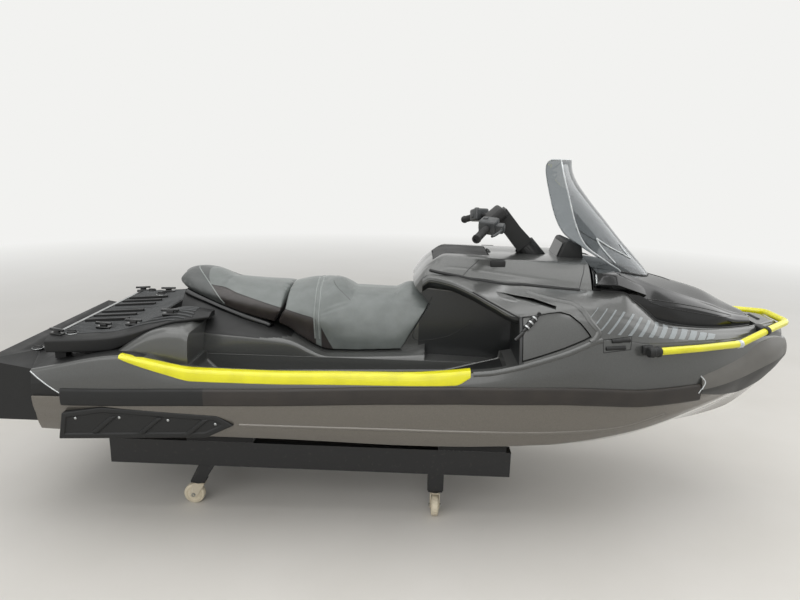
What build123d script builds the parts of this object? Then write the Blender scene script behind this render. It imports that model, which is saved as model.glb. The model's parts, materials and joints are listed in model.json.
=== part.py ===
"""Personal watercraft on its wheeled display cradle.

Millimetres. +X is the bow, +Y port, +Z up. The origin is on the floor, under the middle of the whole length.
"""

import os
from collections import namedtuple
from math import cos, radians, sin

from build123d import *

os.makedirs("parts", exist_ok=True)

# Fits, shared by every piece
SEAT_GAP = 0.3  # between a piece and what it rests on
RUN_GAP = 6.0  # between pieces that move past each other
PIN_GAP = 0.5  # round a pin or a shaft
SKY_Z = 1400.0  # above every surface that a cut opens
LEFT = Plane.XZ  # mirrors a port piece to starboard

# Hull and deck, as straight-lined skins through stations
Station = namedtuple(
    "Station",
    "x half keel strake_y strake_z chine_y chine_z knuckle_z sheer edge_y edge_z",
)
KEY_STATIONS = [
    Station(*row)
    for row in (
        # x, half beam, keel, strake y z, chine y z, knuckle z, sheer, gunwale y z
        (-1640, 588, 285, 250, 366, 530, 468, 552, 640, 562, 757),
        (-1200, 620, 280, 250, 358, 558, 472, 556, 664, 592, 842),
        (-1000, 624, 279, 250, 355, 562, 474, 558, 674, 598, 795),
        (-600, 627.5, 277, 250, 350, 565, 476, 560, 690, 600, 786),
        (0, 627.5, 275, 250, 338, 565, 468, 562, 720, 600, 800),
        (250, 619, 273, 250, 335, 558, 469, 565, 726, 590, 826),
        (450, 607, 274, 250, 334, 546, 474, 568, 727, 572, 908),
        (640, 585, 277, 245, 338, 526, 482, 573, 725, 540, 972),
        (820, 556, 290, 235, 352, 496, 500, 582, 714, 505, 962),
        (1030, 507, 315, 215, 388, 450, 534, 604, 700, 452, 934),
        (1330, 393, 380, 165, 480, 340, 605, 646, 700, 345, 925),
        (1600, 240, 470, 100, 580, 205, 672, 700, 752, 192, 905),
        (1750, 148, 600, 60, 670, 120, 735, 755, 790, 100, 890),
        (1845, 50, 725, 18, 750, 36, 775, 785, 802, 26, 862),
    )
]
RUB_PROUD = 12.0
RUB_HEIGHT = 78.0
RUB_ROOT = 30.0
RUB_BEVEL = (4.0, 6.0)
RUB_X = (-1620.0, 1290.0)
BUMPER_PROUD = 20.0


def slope(before, here, after, column):
    """A column's slope at the middle of three rows, level where it peaks or dips."""
    rise_in = (getattr(here, column) - getattr(before, column)) / (here.x - before.x)
    rise_out = (getattr(after, column) - getattr(here, column)) / (after.x - here.x)
    if rise_in * rise_out <= 0:
        return 0.0
    return 2 * rise_in * rise_out / (rise_in + rise_out)


def faired(rows):
    """The rows with one more halfway between each two, on a smooth curve through all."""
    filled = []
    last = len(rows) - 1
    for i in range(last):
        low, high = rows[i], rows[i + 1]
        run = high.x - low.x
        values = []
        for column in low._fields:
            chord = (getattr(high, column) - getattr(low, column)) / run
            start = slope(rows[i - 1], low, high, column) if i else chord
            finish = slope(low, high, rows[i + 2], column) if i + 1 < last else chord
            middle = (getattr(low, column) + getattr(high, column)) / 2
            values.append(middle + run * (start - finish) / 8)
        filled += [low, low._replace(**dict(zip(low._fields, values)))]
    return filled + [rows[last]]


STATIONS = faired(KEY_STATIONS)
TRANSOM_X = STATIONS[0].x
STEM_X = STATIONS[-1].x


def at(x, column, rows=STATIONS):
    """Value of a column at x, on the straight run between the two stations beside it."""
    near = [pair for pair in zip(rows, rows[1:]) if pair[0].x <= x] or [rows[:2]]
    low, high = near[-1]
    share = (x - low.x) / (high.x - low.x)
    return getattr(low, column) + share * (getattr(high, column) - getattr(low, column))


def stations_between(low, high, rows=STATIONS):
    """The x of both ends and of the stations between them."""
    return [low] + [row.x for row in rows if low < row.x < high] + [high]


def mirrored(half):
    """A closed outline from its port half, which runs from the bottom to the top."""
    return half + [(-y, z) for y, z in reversed(half) if y > 0]


def skin(sections):
    """A straight-lined solid through (x, outline) sections with as many corners each."""
    wires = [
        Wire.make_polygon([Vector(x, y, z) for y, z in outline], close=True)
        for x, outline in sections
    ]
    return Solid.make_loft(wires, ruled=True)


def plate(points, thickness, plane=Plane.XZ):
    """A flat outline in a plane, made thick evenly on both sides of it."""
    face = make_face(plane * Polyline(*points, close=True))
    return extrude(face, thickness / 2, both=True)


def side_plate(points, y_low, y_high):
    """An outline of (x, z) points, thick from y_low to y_high."""
    middle = (y_low + y_high) / 2
    return Pos(0, middle, 0) * plate(points, y_high - y_low)


def block(x, y, z):
    """A box from three (low, high) pairs."""
    size = [high - low for low, high in (x, y, z)]
    middle = [(high + low) / 2 for low, high in (x, y, z)]
    return Pos(*middle) * Box(*size)


def around(middle, reach):
    """The (low, high) pair that reaches as far to both sides of a middle."""
    return (middle - reach, middle + reach)


def rod(start, end, radius):
    """A round bar from one point to another."""
    path = Vector(*end) - Vector(*start)
    return Plane(origin=start, z_dir=path) * Cylinder(
        radius, path.length, align=(Align.CENTER, Align.CENTER, Align.MIN)
    )


def largest(shape):
    """The main solid of a cut, without the slivers that it leaves."""
    return max(shape.solids(), key=lambda solid: solid.volume)


def both_sides(piece):
    """A port piece with its starboard mirror image, as two solids."""
    return Compound(children=[*piece.solids(), *mirror(piece, about=LEFT).solids()])


def grouped(*pieces):
    """Solids that don't touch, kept as one node."""
    return Compound(children=[solid for piece in pieces for solid in piece.solids()])


def save(name, shape):
    export_step(shape, f"parts/{name}.step")


# Hull, with its pump tunnel, engine bay and storage well
BAY_X = (-620.0, 260.0)
BAY_HALF = 230.0
BAY_FLOOR = 372.0
TUNNEL_X = -1150.0
TUNNEL_HALF = 135.0
TUNNEL_TOP = 505.0
WELL_X = (1020.0, 1420.0)
WELL_HALF = 170.0
WELL_FLOOR = 640.0
SHAFT_Z = 398.0
SHAFT_R = 12.0
KNUCKLE_SHARE = 0.6  # of the way out from the chine to the side


def hull_side(x):
    """The chine, knuckle and sheer of the hull's side at a station, from below."""
    side = at(x, "half") - RUB_PROUD
    chine_y = at(x, "chine_y")
    knuckle_y = chine_y + KNUCKLE_SHARE * (side - chine_y)
    return [
        (chine_y, at(x, "chine_z")),
        (knuckle_y, at(x, "knuckle_z")),
        (side, at(x, "sheer")),
    ]


def hull_half(x):
    """Half outline of the hull at a station."""
    bottom = [(0, at(x, "keel")), (at(x, "strake_y"), at(x, "strake_z"))]
    return bottom + hull_side(x) + [(0, at(x, "sheer"))]


hull_body = skin([(row.x, mirrored(hull_half(row.x))) for row in STATIONS])
engine_bay = block(BAY_X, (-BAY_HALF, BAY_HALF), (BAY_FLOOR, SKY_Z))
tunnel = block((TRANSOM_X - 1, TUNNEL_X), (-TUNNEL_HALF, TUNNEL_HALF), (0, TUNNEL_TOP))
well = block(WELL_X, (-WELL_HALF, WELL_HALF), (WELL_FLOOR, SKY_Z))
shaft_bore = rod(
    (TUNNEL_X - RUN_GAP, 0, SHAFT_Z), (BAY_X[0] + RUN_GAP, 0, SHAFT_Z), SHAFT_R + PIN_GAP
)
save("hull", hull_body - engine_bay - tunnel - well - shaft_bore)

# Deck moulding with its footwells
FOOT_X = (-950.0, 400.0)
FOOT_INNER = 335.0
FOOT_OUTER = 540.0
FOOT_FLOOR = 690.0
FOOT_BEND_X = 150.0
FOOT_BEND_RISE = 40.0
FOOT_END_RISE = 110.0
FOOT_RAMP = 60.0
MAT_T = 8.0
MAT_EDGE = 12.0
SPINE_X = (-1000.0, 700.0)
SPINE_Z = 780.0
POCKET_X = (795.0, 1640.0)
POCKET_FLOOR = 915.0
POCKET_HALF = 330.0


def deck_half(x):
    """Half outline of the deck moulding at a station."""
    side = at(x, "half") - RUB_PROUD
    edge_y, edge_z = at(x, "edge_y"), at(x, "edge_z")
    return [(0, at(x, "sheer")), (side, at(x, "sheer")), (edge_y, edge_z), (0, edge_z)]


def side_y(x, z):
    """Half breadth of the deck's side at a height."""
    low_y, low_z = at(x, "half") - RUB_PROUD, at(x, "sheer")
    high_y, high_z = at(x, "edge_y"), at(x, "edge_z")
    return low_y + (high_y - low_y) * (z - low_z) / (high_z - low_z)


deck_body = skin([(row.x, mirrored(deck_half(row.x))) for row in STATIONS])
foot_ramp_x = FOOT_X[0] + FOOT_RAMP
foot_floor = [
    (foot_ramp_x, FOOT_FLOOR),
    (FOOT_BEND_X, FOOT_FLOOR + FOOT_BEND_RISE),
    (FOOT_X[1], FOOT_FLOOR + FOOT_END_RISE),
]
footwell = side_plate(
    [(FOOT_X[0], FOOT_FLOOR + FOOT_RAMP)]
    + foot_floor
    + [(FOOT_X[1] + FOOT_RAMP, SKY_Z), (FOOT_X[0], SKY_Z)],
    FOOT_INNER,
    FOOT_OUTER,
)
spine_top = block(SPINE_X, (-FOOT_INNER, FOOT_INNER), (SPINE_Z, SKY_Z))
pocket_floor_cut = block(POCKET_X, (-POCKET_HALF, POCKET_HALF), (POCKET_FLOOR, SKY_Z))
deck = deck_body - both_sides(footwell) - engine_bay - well - spine_top - pocket_floor_cut
save("deck", deck)

# Mats on the footwell floors
mat_low = [(x, z + SEAT_GAP) for x, z in foot_floor]
mat_high = [(x, z + SEAT_GAP + MAT_T) for x, z in reversed(foot_floor)]
mat = side_plate(mat_low + mat_high, FOOT_INNER + MAT_EDGE, FOOT_OUTER - MAT_EDGE)
save("footwell_mats", both_sides(mat))


def side_strip(rows, root, proud):
    """A strip on the deck's side through (x, low, high) rows, cut to lie on it."""
    sections = [
        (
            x,
            [
                (side_y(x, low) - root, low),
                (side_y(x, low) + proud, low),
                (side_y(x, high) + proud, high),
                (side_y(x, high) - root, high),
            ],
        )
        for x, low, high in rows
    ]
    return largest(skin(sections) - deck_body)


# Rub rail along each side
bevel_y, bevel_z = RUB_BEVEL
rub_sections = []
for x in stations_between(*RUB_X):
    side, sheer = at(x, "half") - RUB_PROUD, at(x, "sheer")
    low, high = around(sheer, RUB_HEIGHT / 2)
    outer = side + RUB_PROUD
    rub_sections.append(
        (
            x,
            [
                (side - RUB_ROOT, low),
                (outer - bevel_y, low),
                (outer, low + bevel_z),
                (outer, high - bevel_z),
                (outer - bevel_y, high),
                (side - RUB_ROOT, high),
            ],
        )
    )
rub_rail = skin(rub_sections) - hull_body - deck_body
save("rub_rails", both_sides(rub_rail))

# Bumper round the bow, two faces that meet in a crease
Bumper = namedtuple("Bumper", "x low crease high")
BUMPER = faired(
    [
        Bumper(*row)
        for row in (
            (RUB_X[1] + 1, 690, 717, 775),
            (1400, 664, 724, 803),
            (1523, 645, 738, 835),
            (1650, 672, 764, 878),
            (1750, 722, 785, 884),
            (STEM_X, 762, 800, 856),
        )
    ]
)
BUMPER_EDGE = 5.0  # how far its edges stand off the side
TIP_X = 1865.0
TIP_HALF = 14.0
TIP_Z = (788.0, 806.0, 838.0)


def hull_y(x, z):
    """Half breadth of the hull's side at a height, that of the chine below it."""
    points = hull_side(x)
    if z <= points[0][1]:
        return points[0][0]
    for (low_y, low_z), (high_y, high_z) in zip(points, points[1:]):
        if z <= high_z:
            return low_y + (high_y - low_y) * (z - low_z) / (high_z - low_z)
    return side_y(x, z)


bumper_sections = []
for row in BUMPER:
    crease_y = at(row.x, "half") - RUB_PROUD + BUMPER_PROUD
    half = [
        (0, row.low),
        (hull_y(row.x, row.low) + BUMPER_EDGE, row.low),
        (crease_y, row.crease),
        (side_y(row.x, row.high) + BUMPER_EDGE, row.high),
        (0, row.high),
    ]
    bumper_sections.append((row.x, mirrored(half)))
low, crease, high = TIP_Z
tip = [(0, low), (TIP_HALF / 2, low), (TIP_HALF, crease), (TIP_HALF / 2, high), (0, high)]
bumper_sections.append((TIP_X, mirrored(tip)))
save("bow_bumper", largest(skin(bumper_sections) - hull_body - deck_body))

# Seat pedestal, whose sides are the engine cover
Pedestal = namedtuple("Pedestal", "x top_z top_half mid_z mid_half")
PEDESTAL = faired(
    [
        Pedestal(*row)
        for row in (
            (-1100, 1036, 150, 960, 215),
            (-960, 985, 200, 880, 318),
            (-760, 920, 225, 868, 328),
            (-575, 868, 240, 852, 330),
            (-383, 785, 250, 783, 330),
            (-60, 795, 240, 793, 328),
            (60, 830, 235, 800, 322),
        )
    ]
)


def pedestal_half(row):
    """Half outline of the pedestal, standing on the deck's spine."""
    return [
        (0, SPINE_Z),
        (FOOT_INNER - 1, SPINE_Z),
        (row.mid_half, max(row.mid_z, SPINE_Z + 2)),
        (row.top_half, row.top_z),
        (0, row.top_z),
    ]


pedestal = skin([(row.x, mirrored(pedestal_half(row))) for row in PEDESTAL]) - deck
save("seat_pedestal", pedestal)

# Seats: closed forms of the real outer shape, parted behind the driver's bolster
Seat = namedtuple("Seat", "x low_z low_half side_z side_half top_z top_half crown_z")
SEAT_SPLIT_X = -605.0
SPLIT_ROW = (895, 240, 985, 270, 1045, 165, 1068)
PASSENGER = faired(
    [
        Seat(*row)
        for row in (
            (-1140, 1062, 100, 1085, 125, 1105, 80, 1116),
            (-1085, 1035, 150, 1070, 182, 1112, 108, 1128),
            (-1000, 1006, 185, 1050, 214, 1100, 124, 1122),
            (-900, 972, 210, 1035, 236, 1058, 140, 1085),
            (-750, 930, 230, 1008, 256, 1048, 150, 1074),
            (SEAT_SPLIT_X, *SPLIT_ROW),
        )
    ]
)
DRIVER = faired(
    [
        Seat(*row)
        for row in (
            (SEAT_SPLIT_X + SEAT_GAP, *SPLIT_ROW),
            (-480, 815, 250, 960, 274, 1066, 160, 1092),
            (-371, 783, 252, 930, 270, 1064, 155, 1091),
            (-281, 783, 252, 905, 262, 1022, 172, 1042),
            (-95, 785, 245, 905, 246, 1018, 165, 1038),
            (-16, 800, 236, 940, 240, 1052, 140, 1080),
            (95, 830, 224, 1000, 234, 1030, 130, 1062),
        )
    ]
)
NOSE = [(-70, SPINE_Z), (80, 1020), (-16, 1130)]  # x, z where the seat meets the console


def seat_body(rows):
    """A seat through its sections."""
    return skin(
        [
            (
                row.x,
                mirrored(
                    [
                        (0, row.low_z),
                        (row.low_half, row.low_z),
                        (row.side_half, row.side_z),
                        (row.top_half, row.top_z),
                        (0, row.crown_z),
                    ]
                ),
            )
            for row in rows
        ]
    )


behind_nose = side_plate(
    [(SEAT_SPLIT_X, SPINE_Z), *NOSE, (NOSE[-1][0], SKY_Z), (SEAT_SPLIT_X, SKY_Z)],
    -POCKET_HALF,
    POCKET_HALF,
)
seat_bed = Pos(0, 0, SEAT_GAP) * pedestal
passenger_seat = seat_body(PASSENGER) - seat_bed
driver_seat = (seat_body(DRIVER) & behind_nose) - seat_bed
save("passenger_seat", passenger_seat)
save("driver_seat", driver_seat)

# Trim bar under each side of the passenger's seat, lying on the pedestal
SEAT_BAR_R = 13.0
SEAT_BAR_SHARE = 0.35  # of the way down the pedestal's shoulder
SEAT_BAR_X = (-1085.0, -860.0, -664.0)


def seat_bar_point(x):
    """A point of the bar's axis, sunk a little so that it lies along the shoulder."""
    high_y, low_y = at(x, "top_half", PEDESTAL), at(x, "mid_half", PEDESTAL)
    high_z, low_z = at(x, "top_z", PEDESTAL), at(x, "mid_z", PEDESTAL)
    y = high_y + SEAT_BAR_SHARE * (low_y - high_y)
    return (y, high_z + SEAT_BAR_SHARE * (low_z - high_z) + SEAT_BAR_R / 2)


bar_ends = [(x, *seat_bar_point(x)) for x in SEAT_BAR_X]
seat_bar = rod(bar_ends[0], bar_ends[1], SEAT_BAR_R) + rod(bar_ends[1], bar_ends[2], SEAT_BAR_R)
seat_bar += Pos(*bar_ends[1]) * Sphere(SEAT_BAR_R)
seat_bar = seat_bar - seat_bed - Pos(0, 0, -SEAT_GAP) * passenger_seat - deck
save("seat_trim_bars", both_sides(largest(seat_bar)))

# Front shoulders, from the knee pocket to the nose, open under the hood
Shoulder = namedtuple("Shoulder", "x crest_y crest_z inner_y inner_z")
SHOULDERS = faired(
    [
        Shoulder(*row)
        for row in (
            (450, 505, 1052, 292, 1150),
            (620, 474, 1074, 312, 1144),
            (730, 452, 1080, 326, 1134),
            (930, 412, 1040, 325, 1124),
            (1100, 372, 985, 315, 996),
            (1330, 300, 958, 276, 962),
            (1600, 172, 942, 150, 948),
            (1750, 84, 940, 60, 955),
            (1812, 40, 905, 24, 912),
        )
    ]
)
SHOULDER_SUNK = 10.0


def shoulder_half(x):
    """Half outline of the shoulders at a station, standing on the deck."""
    edge_y, edge_z = at(x, "edge_y"), at(x, "edge_z")
    inner = (at(x, "inner_y", SHOULDERS), at(x, "inner_z", SHOULDERS))
    return [
        (0, edge_z - SHOULDER_SUNK),
        (edge_y - 2, edge_z - SHOULDER_SUNK),
        (edge_y - 2, edge_z),
        (at(x, "crest_y", SHOULDERS), at(x, "crest_z", SHOULDERS)),
        inner,
        (0, inner[1]),
    ]


shoulder_x = sorted(
    {row.x for row in SHOULDERS}
    | {row.x for row in STATIONS if SHOULDERS[0].x < row.x < SHOULDERS[-1].x}
)
shoulder_body = skin([(x, mirrored(shoulder_half(x))) for x in shoulder_x])


def pocket_half(x):
    """Half outline of the space under the hood."""
    inner_y = at(x, "inner_y", SHOULDERS)
    return [(0, POCKET_FLOOR), (inner_y, POCKET_FLOOR), (inner_y, SKY_Z), (0, SKY_Z)]


pocket_x = stations_between(*POCKET_X, SHOULDERS)
pocket = skin([(x, mirrored(pocket_half(x))) for x in pocket_x])

# Console in front of the seat, with the glovebox in its top
Console = namedtuple("Console", "x base_half flank_half flank_z top_half top_z")
CONSOLE = faired(
    [
        Console(*row)
        for row in (
            (-75, 226, 230, 900, 140, 1030),
            (0, 230, 233, 1090, 145, 1120),
            (66, 232, 238, 1165, 157, 1200),
            (150, 240, 252, 1160, 195, 1246),
            (400, 262, 284, 1152, 214, 1240),
            (790, 325, 328, 1134, 226, 1236),
        )
    ]
)
GLOVE_X = (100.0, 335.0)
GLOVE_HALF = 128.0
GLOVE_DEPTH = 122.0
GLOVE_WALL = 4.0
LID_LIP = 16.0
LID_PLAY = 5.0
LID_PROUD = 3.0
LID_EDGE = 5.0
LID_BEVEL = 8.0
LID_PIN_R = 3.0
LID_KNUCKLE_R = 6.0
LID_KNUCKLE_Y = (24.0, 40.0)
LID_POST = (6.0, 8.0)
SHOULDER_INNER = 290.0


def console_half(x):
    """Half outline of the console at a station."""
    top_z = at(x, "top_z", CONSOLE)
    return [
        (0, SPINE_Z),
        (at(x, "base_half", CONSOLE), SPINE_Z),
        (at(x, "flank_half", CONSOLE), at(x, "flank_z", CONSOLE)),
        (at(x, "top_half", CONSOLE), top_z),
        (0, top_z),
    ]


console_body = skin([(row.x, mirrored(console_half(row.x))) for row in CONSOLE])
lid_x = (GLOVE_X[0] - LID_LIP, GLOVE_X[1] + LID_LIP)
lid_half = GLOVE_HALF + LID_LIP
glove_rim = at(lid_x[0], "top_z", CONSOLE) - LID_EDGE
glove_floor = glove_rim - GLOVE_DEPTH
glove_hole = block(GLOVE_X, (-GLOVE_HALF, GLOVE_HALF), (glove_floor, SKY_Z))
lid_pocket = block(lid_x, (-lid_half, lid_half), (glove_rim, SKY_Z))
lid_hinge_x = lid_x[1] + LID_KNUCKLE_R
lid_hinge_z = at(lid_hinge_x, "top_z", CONSOLE) + LID_PROUD
lid_groove = block(
    (lid_x[1] - 1, lid_hinge_x + LID_KNUCKLE_R + RUN_GAP),
    around(0, LID_KNUCKLE_Y[1] + RUN_GAP),
    (lid_hinge_z - LID_KNUCKLE_R - RUN_GAP, SKY_Z),
)
console = console_body - glove_hole - lid_pocket - lid_groove - pedestal - seat_bed - deck
console = largest(console - Pos(SEAT_GAP, 0, 0) * behind_nose)
save("console", console)

shoulders = shoulder_body - deck_body - pocket - console_body - well
shoulders -= block(
    (SHOULDERS[0].x - 1, POCKET_X[0]), (-SHOULDER_INNER, SHOULDER_INNER), (SPINE_Z, SKY_Z)
)
shoulders = largest(shoulders)
save("front_shoulders", shoulders)

glove_tub = block(
    (GLOVE_X[0] + SEAT_GAP, GLOVE_X[1] - SEAT_GAP),
    around(0, GLOVE_HALF - SEAT_GAP),
    (glove_floor + SEAT_GAP, glove_rim),
)
glove_tub -= block(
    (GLOVE_X[0] + GLOVE_WALL, GLOVE_X[1] - GLOVE_WALL),
    around(0, GLOVE_HALF - GLOVE_WALL),
    (glove_floor + GLOVE_WALL, SKY_Z),
)
save("glovebox_tub", glove_tub)


def lid_outline(x):
    """The lid's section, a little proud of the console's top."""
    top = at(x, "top_z", CONSOLE) + LID_PROUD
    edge = lid_half - LID_PLAY
    low = glove_rim + SEAT_GAP
    half = [(0, low), (edge, low), (edge, top - LID_EDGE), (edge - LID_BEVEL, top), (0, top)]
    return mirrored(half)


lid_span = stations_between(lid_x[0] + LID_PLAY, lid_x[1] - LID_PLAY, CONSOLE)
glovebox_lid = skin([(x, lid_outline(x)) for x in lid_span])
lid_axis = [(lid_hinge_x, y, lid_hinge_z) for y in LID_KNUCKLE_Y]
lid_arm = rod(*lid_axis, LID_KNUCKLE_R) + side_plate(
    [
        (lid_span[-1] - LID_BEVEL, lid_hinge_z - LID_KNUCKLE_R),
        (lid_hinge_x, lid_hinge_z - LID_KNUCKLE_R),
        (lid_hinge_x, lid_hinge_z),
        (lid_span[-1] - LID_BEVEL, lid_hinge_z - LID_PROUD),
    ],
    *LID_KNUCKLE_Y,
)
pin_end = LID_KNUCKLE_Y[1] + RUN_GAP + LID_POST[0]
lid_pin_line = ((lid_hinge_x, -pin_end, lid_hinge_z), (lid_hinge_x, pin_end, lid_hinge_z))
lid_arm -= rod(*lid_pin_line, LID_PIN_R + PIN_GAP)
save("glovebox_lid", glovebox_lid + lid_arm + mirror(lid_arm, about=LEFT))
lid_post = block(
    around(lid_hinge_x, LID_POST[1] / 2),
    (pin_end - LID_POST[0], pin_end),
    (glove_rim, lid_hinge_z + LID_PIN_R + 1),
)
save("glovebox_hinge", rod(*lid_pin_line, LID_PIN_R) + lid_post + mirror(lid_post, about=LEFT) - console)

# Knee wings: the overhanging lip from the console to the shoulders
Wing = namedtuple("Wing", "x inner_y inner_z ridge_y ridge_z")
WINGS = faired(
    [
        Wing(*row)
        for row in (
            (40, 230, 1140, 262, 1134),
            (78, 234, 1164, 278, 1162),
            (160, 245, 1164, 340, 1158),
            (250, 258, 1162, 400, 1134),
            (330, 266, 1158, 458, 1098),
            (SHOULDERS[0].x - 1, 280, 1152, 506, 1050),
        )
    ]
)
WING_SUNK = 10.0
WING_DEEP = 75.0
WING_LIP = (6.0, 26.0)  # out and down from the ridge
WING_TUCK = (22.0, 48.0)


def wing_outline(row):
    """A wing's section, from its root under the console out to the ridge."""
    root = row.inner_y - WING_SUNK
    return [
        (root, row.inner_z - WING_DEEP),
        (row.ridge_y - WING_TUCK[0], row.ridge_z - WING_TUCK[1]),
        (row.ridge_y, row.ridge_z - WING_LIP[1]),
        (row.ridge_y - WING_LIP[0], row.ridge_z),
        (root, row.inner_z),
    ]


wing = skin([(row.x, wing_outline(row)) for row in WINGS]) - console_body - shoulder_body
save("knee_wings", both_sides(largest(wing)))

# Gunwale rails, the bright strips on the deck's edge
Rail = namedtuple("Rail", "x low high")
GUNWALE_RAILS = [
    Rail(*row)
    for row in (
        (-1227, 826, 844),
        (-1150, 790, 832),
        (-1000, 750, 798),
        (-900, 738, 794),
        (-600, 742, 790),
        (-330, 752, 797),
        (0, 758, 804),
        (190, 765, 821),
        (250, 800, 829),
    )
]
RAIL_ROOT = 8.0
RAIL_PROUD = 10.0
RAIL_WIDE = 34.0
RAIL_OVER = 3.0
RAIL_BEVEL = (8.0, 9.0)


def rail_outline(x):
    """A rail's section: down the deck's side, round its edge and a little inwards."""
    low, high = at(x, "low", GUNWALE_RAILS), at(x, "high", GUNWALE_RAILS)
    edge_y = at(x, "edge_y")
    top = high + RAIL_OVER
    return [
        (side_y(x, low) - RAIL_ROOT, low),
        (side_y(x, low) + RAIL_PROUD, low),
        (edge_y + RAIL_PROUD, top - RAIL_BEVEL[1]),
        (edge_y + RAIL_PROUD - RAIL_BEVEL[0], top),
        (edge_y - RAIL_WIDE, top),
        (edge_y - RAIL_WIDE, min(low, top - 2 * RAIL_BEVEL[1])),
    ]


rail_x = {row.x for row in GUNWALE_RAILS}
rail_x |= {row.x for row in STATIONS if min(rail_x) < row.x < max(rail_x)}
rail = skin([(x, rail_outline(x)) for x in sorted(rail_x)]) - deck_body - rub_rail
rail = largest(rail)
save("gunwale_rails", both_sides(rail))

# Sponsons low on the sides aft, each with slanted ribs
SPONSON_Y = (500.0, 606.0)
SPONSON = [(-1498, 580), (-1521, 457), (-870, 488), (-750, 549), (-822, 592), (-1322, 612)]
SPONSON_RIB_X = (-1330, -1130, -930)
RIB_Z = (490.0, 575.0)
RIB_LEAN = 90.0
RIB_WIDE = 30.0
RIB_PROUD = 10.0
sponson = side_plate(SPONSON, *SPONSON_Y) - hull_body
for x in SPONSON_RIB_X:
    low_x, high_x = around(x, RIB_LEAN / 2)
    foot = [(low_x, RIB_Z[0]), (low_x + RIB_WIDE, RIB_Z[0])]
    head = [(high_x + RIB_WIDE, RIB_Z[1]), (high_x, RIB_Z[1])]
    sponson += side_plate(foot + head, SPONSON_Y[1] - RIB_PROUD, SPONSON_Y[1] + RIB_PROUD)
save("sponsons", both_sides(largest(sponson)))

# Raised quarter of the deck behind the footwells
QUARTER_HALF = 545.0
QUARTER = [(-1292, 790), (-1292, 830), (-1130, 930), (-997, 948), (-962, 936), (-950, 780)]
quarter = side_plate(QUARTER, -QUARTER_HALF, QUARTER_HALF) - deck - pedestal
quarter = quarter - rail - mirror(rail, about=LEFT)
save("rear_quarters", largest(quarter))

# Cargo rack over it, with ribs, accessory sockets and a bright strip along its aft edge
Rack = namedtuple("Rack", "x half under edge_z crown_half crown_z")
RACK = [
    Rack(*row)
    for row in (
        (-1605, 500, 834, 866, 455, 878),
        (-1320, 500, 850, 892, 455, 900),
        (-1150, 470, 905, 930, 345, 968),
        (-1000, 410, 930, 962, 335, 1000),
        (-925, 345, 935, 955, 305, 972),
    )
]
RACK_TAIL_X = (-1170.0, -900.0)
RACK_TAIL_HALF = 262.0
RACK_FOOT_X = (-1570.0, -1330.0)
RACK_FOOT_Y = 420.0
RACK_FOOT = 25.0
FIN_X = (-1560.0, -1350.0)
FIN_Y = (-230, -150, -70, 70, 150, 230)
FIN_HALF = 9.0
INLAID = 4.0  # how deep what stands on a face is let into it
FIN_HIGH = 13.0
RACK_SOCKETS = ((-1519.0, 425.0), (-1423.0, 319.0))  # x, |y|
SOCKET_R = 22.0
SOCKET_HIGH = 10.0
SOCKET_BAR = (34.0, 9.0, 5.0)
STRIP_X = (-1598.0, -1580.0)
STRIP_HALF = 440.0
STRIP_HIGH = 4.0


def rack_outline(row):
    """The rack's section, flat on top between its sloping edges."""
    half = [
        (0, row.under),
        (row.half, row.under),
        (row.half, row.edge_z),
        (row.crown_half, row.crown_z),
        (0, row.crown_z),
    ]
    return mirrored(half)


def on_rack(x_low, x_high, high):
    """(x, z) corners of a strip let into the rack's flat top."""
    low_z, high_z = at(x_low, "crown_z", RACK), at(x_high, "crown_z", RACK)
    return [
        (x_low, low_z - INLAID),
        (x_high, high_z - INLAID),
        (x_high, high_z + high),
        (x_low, low_z + high),
    ]


def recesses(*pieces):
    """What let-in pieces need cut away, a little long fore and aft for the sloping face."""
    shifts = (-SEAT_GAP, 0, SEAT_GAP)
    return grouped(*[Pos(shift, 0, 0) * piece for piece in pieces for shift in shifts])


def accessory_socket(x, y, z):
    """A round socket with its locking bar, let into the face below it."""
    seat = Pos(x, y, z - INLAID)
    base = Align.CENTER, Align.CENTER, Align.MIN
    socket = seat * Cylinder(SOCKET_R, INLAID + SOCKET_HIGH, align=base)
    socket = chamfer(socket.faces().sort_by(Axis.Z)[-1].edges(), SOCKET_HIGH / 4)
    bar = Pos(x, y, z + SOCKET_HIGH) * Box(*SOCKET_BAR, align=base)
    return socket + bar


rack = skin([(row.x, rack_outline(row)) for row in RACK])
rack -= block(RACK_TAIL_X, (-RACK_TAIL_HALF, RACK_TAIL_HALF), (0, SKY_Z))
for x in RACK_FOOT_X:
    for y in (-RACK_FOOT_Y, RACK_FOOT_Y):
        leg = block(around(x, RACK_FOOT), around(y, RACK_FOOT), (SPINE_Z - RUB_HEIGHT, RACK[0].edge_z))
        rack += Pos(0, 0, SEAT_GAP) * (leg - deck_body)
fins = [side_plate(on_rack(*FIN_X, FIN_HIGH), *around(y, FIN_HALF)) for y in FIN_Y]
strip = side_plate(on_rack(*STRIP_X, STRIP_HIGH), -STRIP_HALF, STRIP_HALF)
rack_sockets = [
    accessory_socket(x, y, at(x, "crown_z", RACK))
    for x, half in RACK_SOCKETS
    for y in (-half, half)
]
rack = rack - quarter - recesses(*fins, strip, *rack_sockets)
save("cargo_rack", largest(rack))
save("rack_fins", grouped(*fins))
save("rack_edge_strip", strip)

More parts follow.
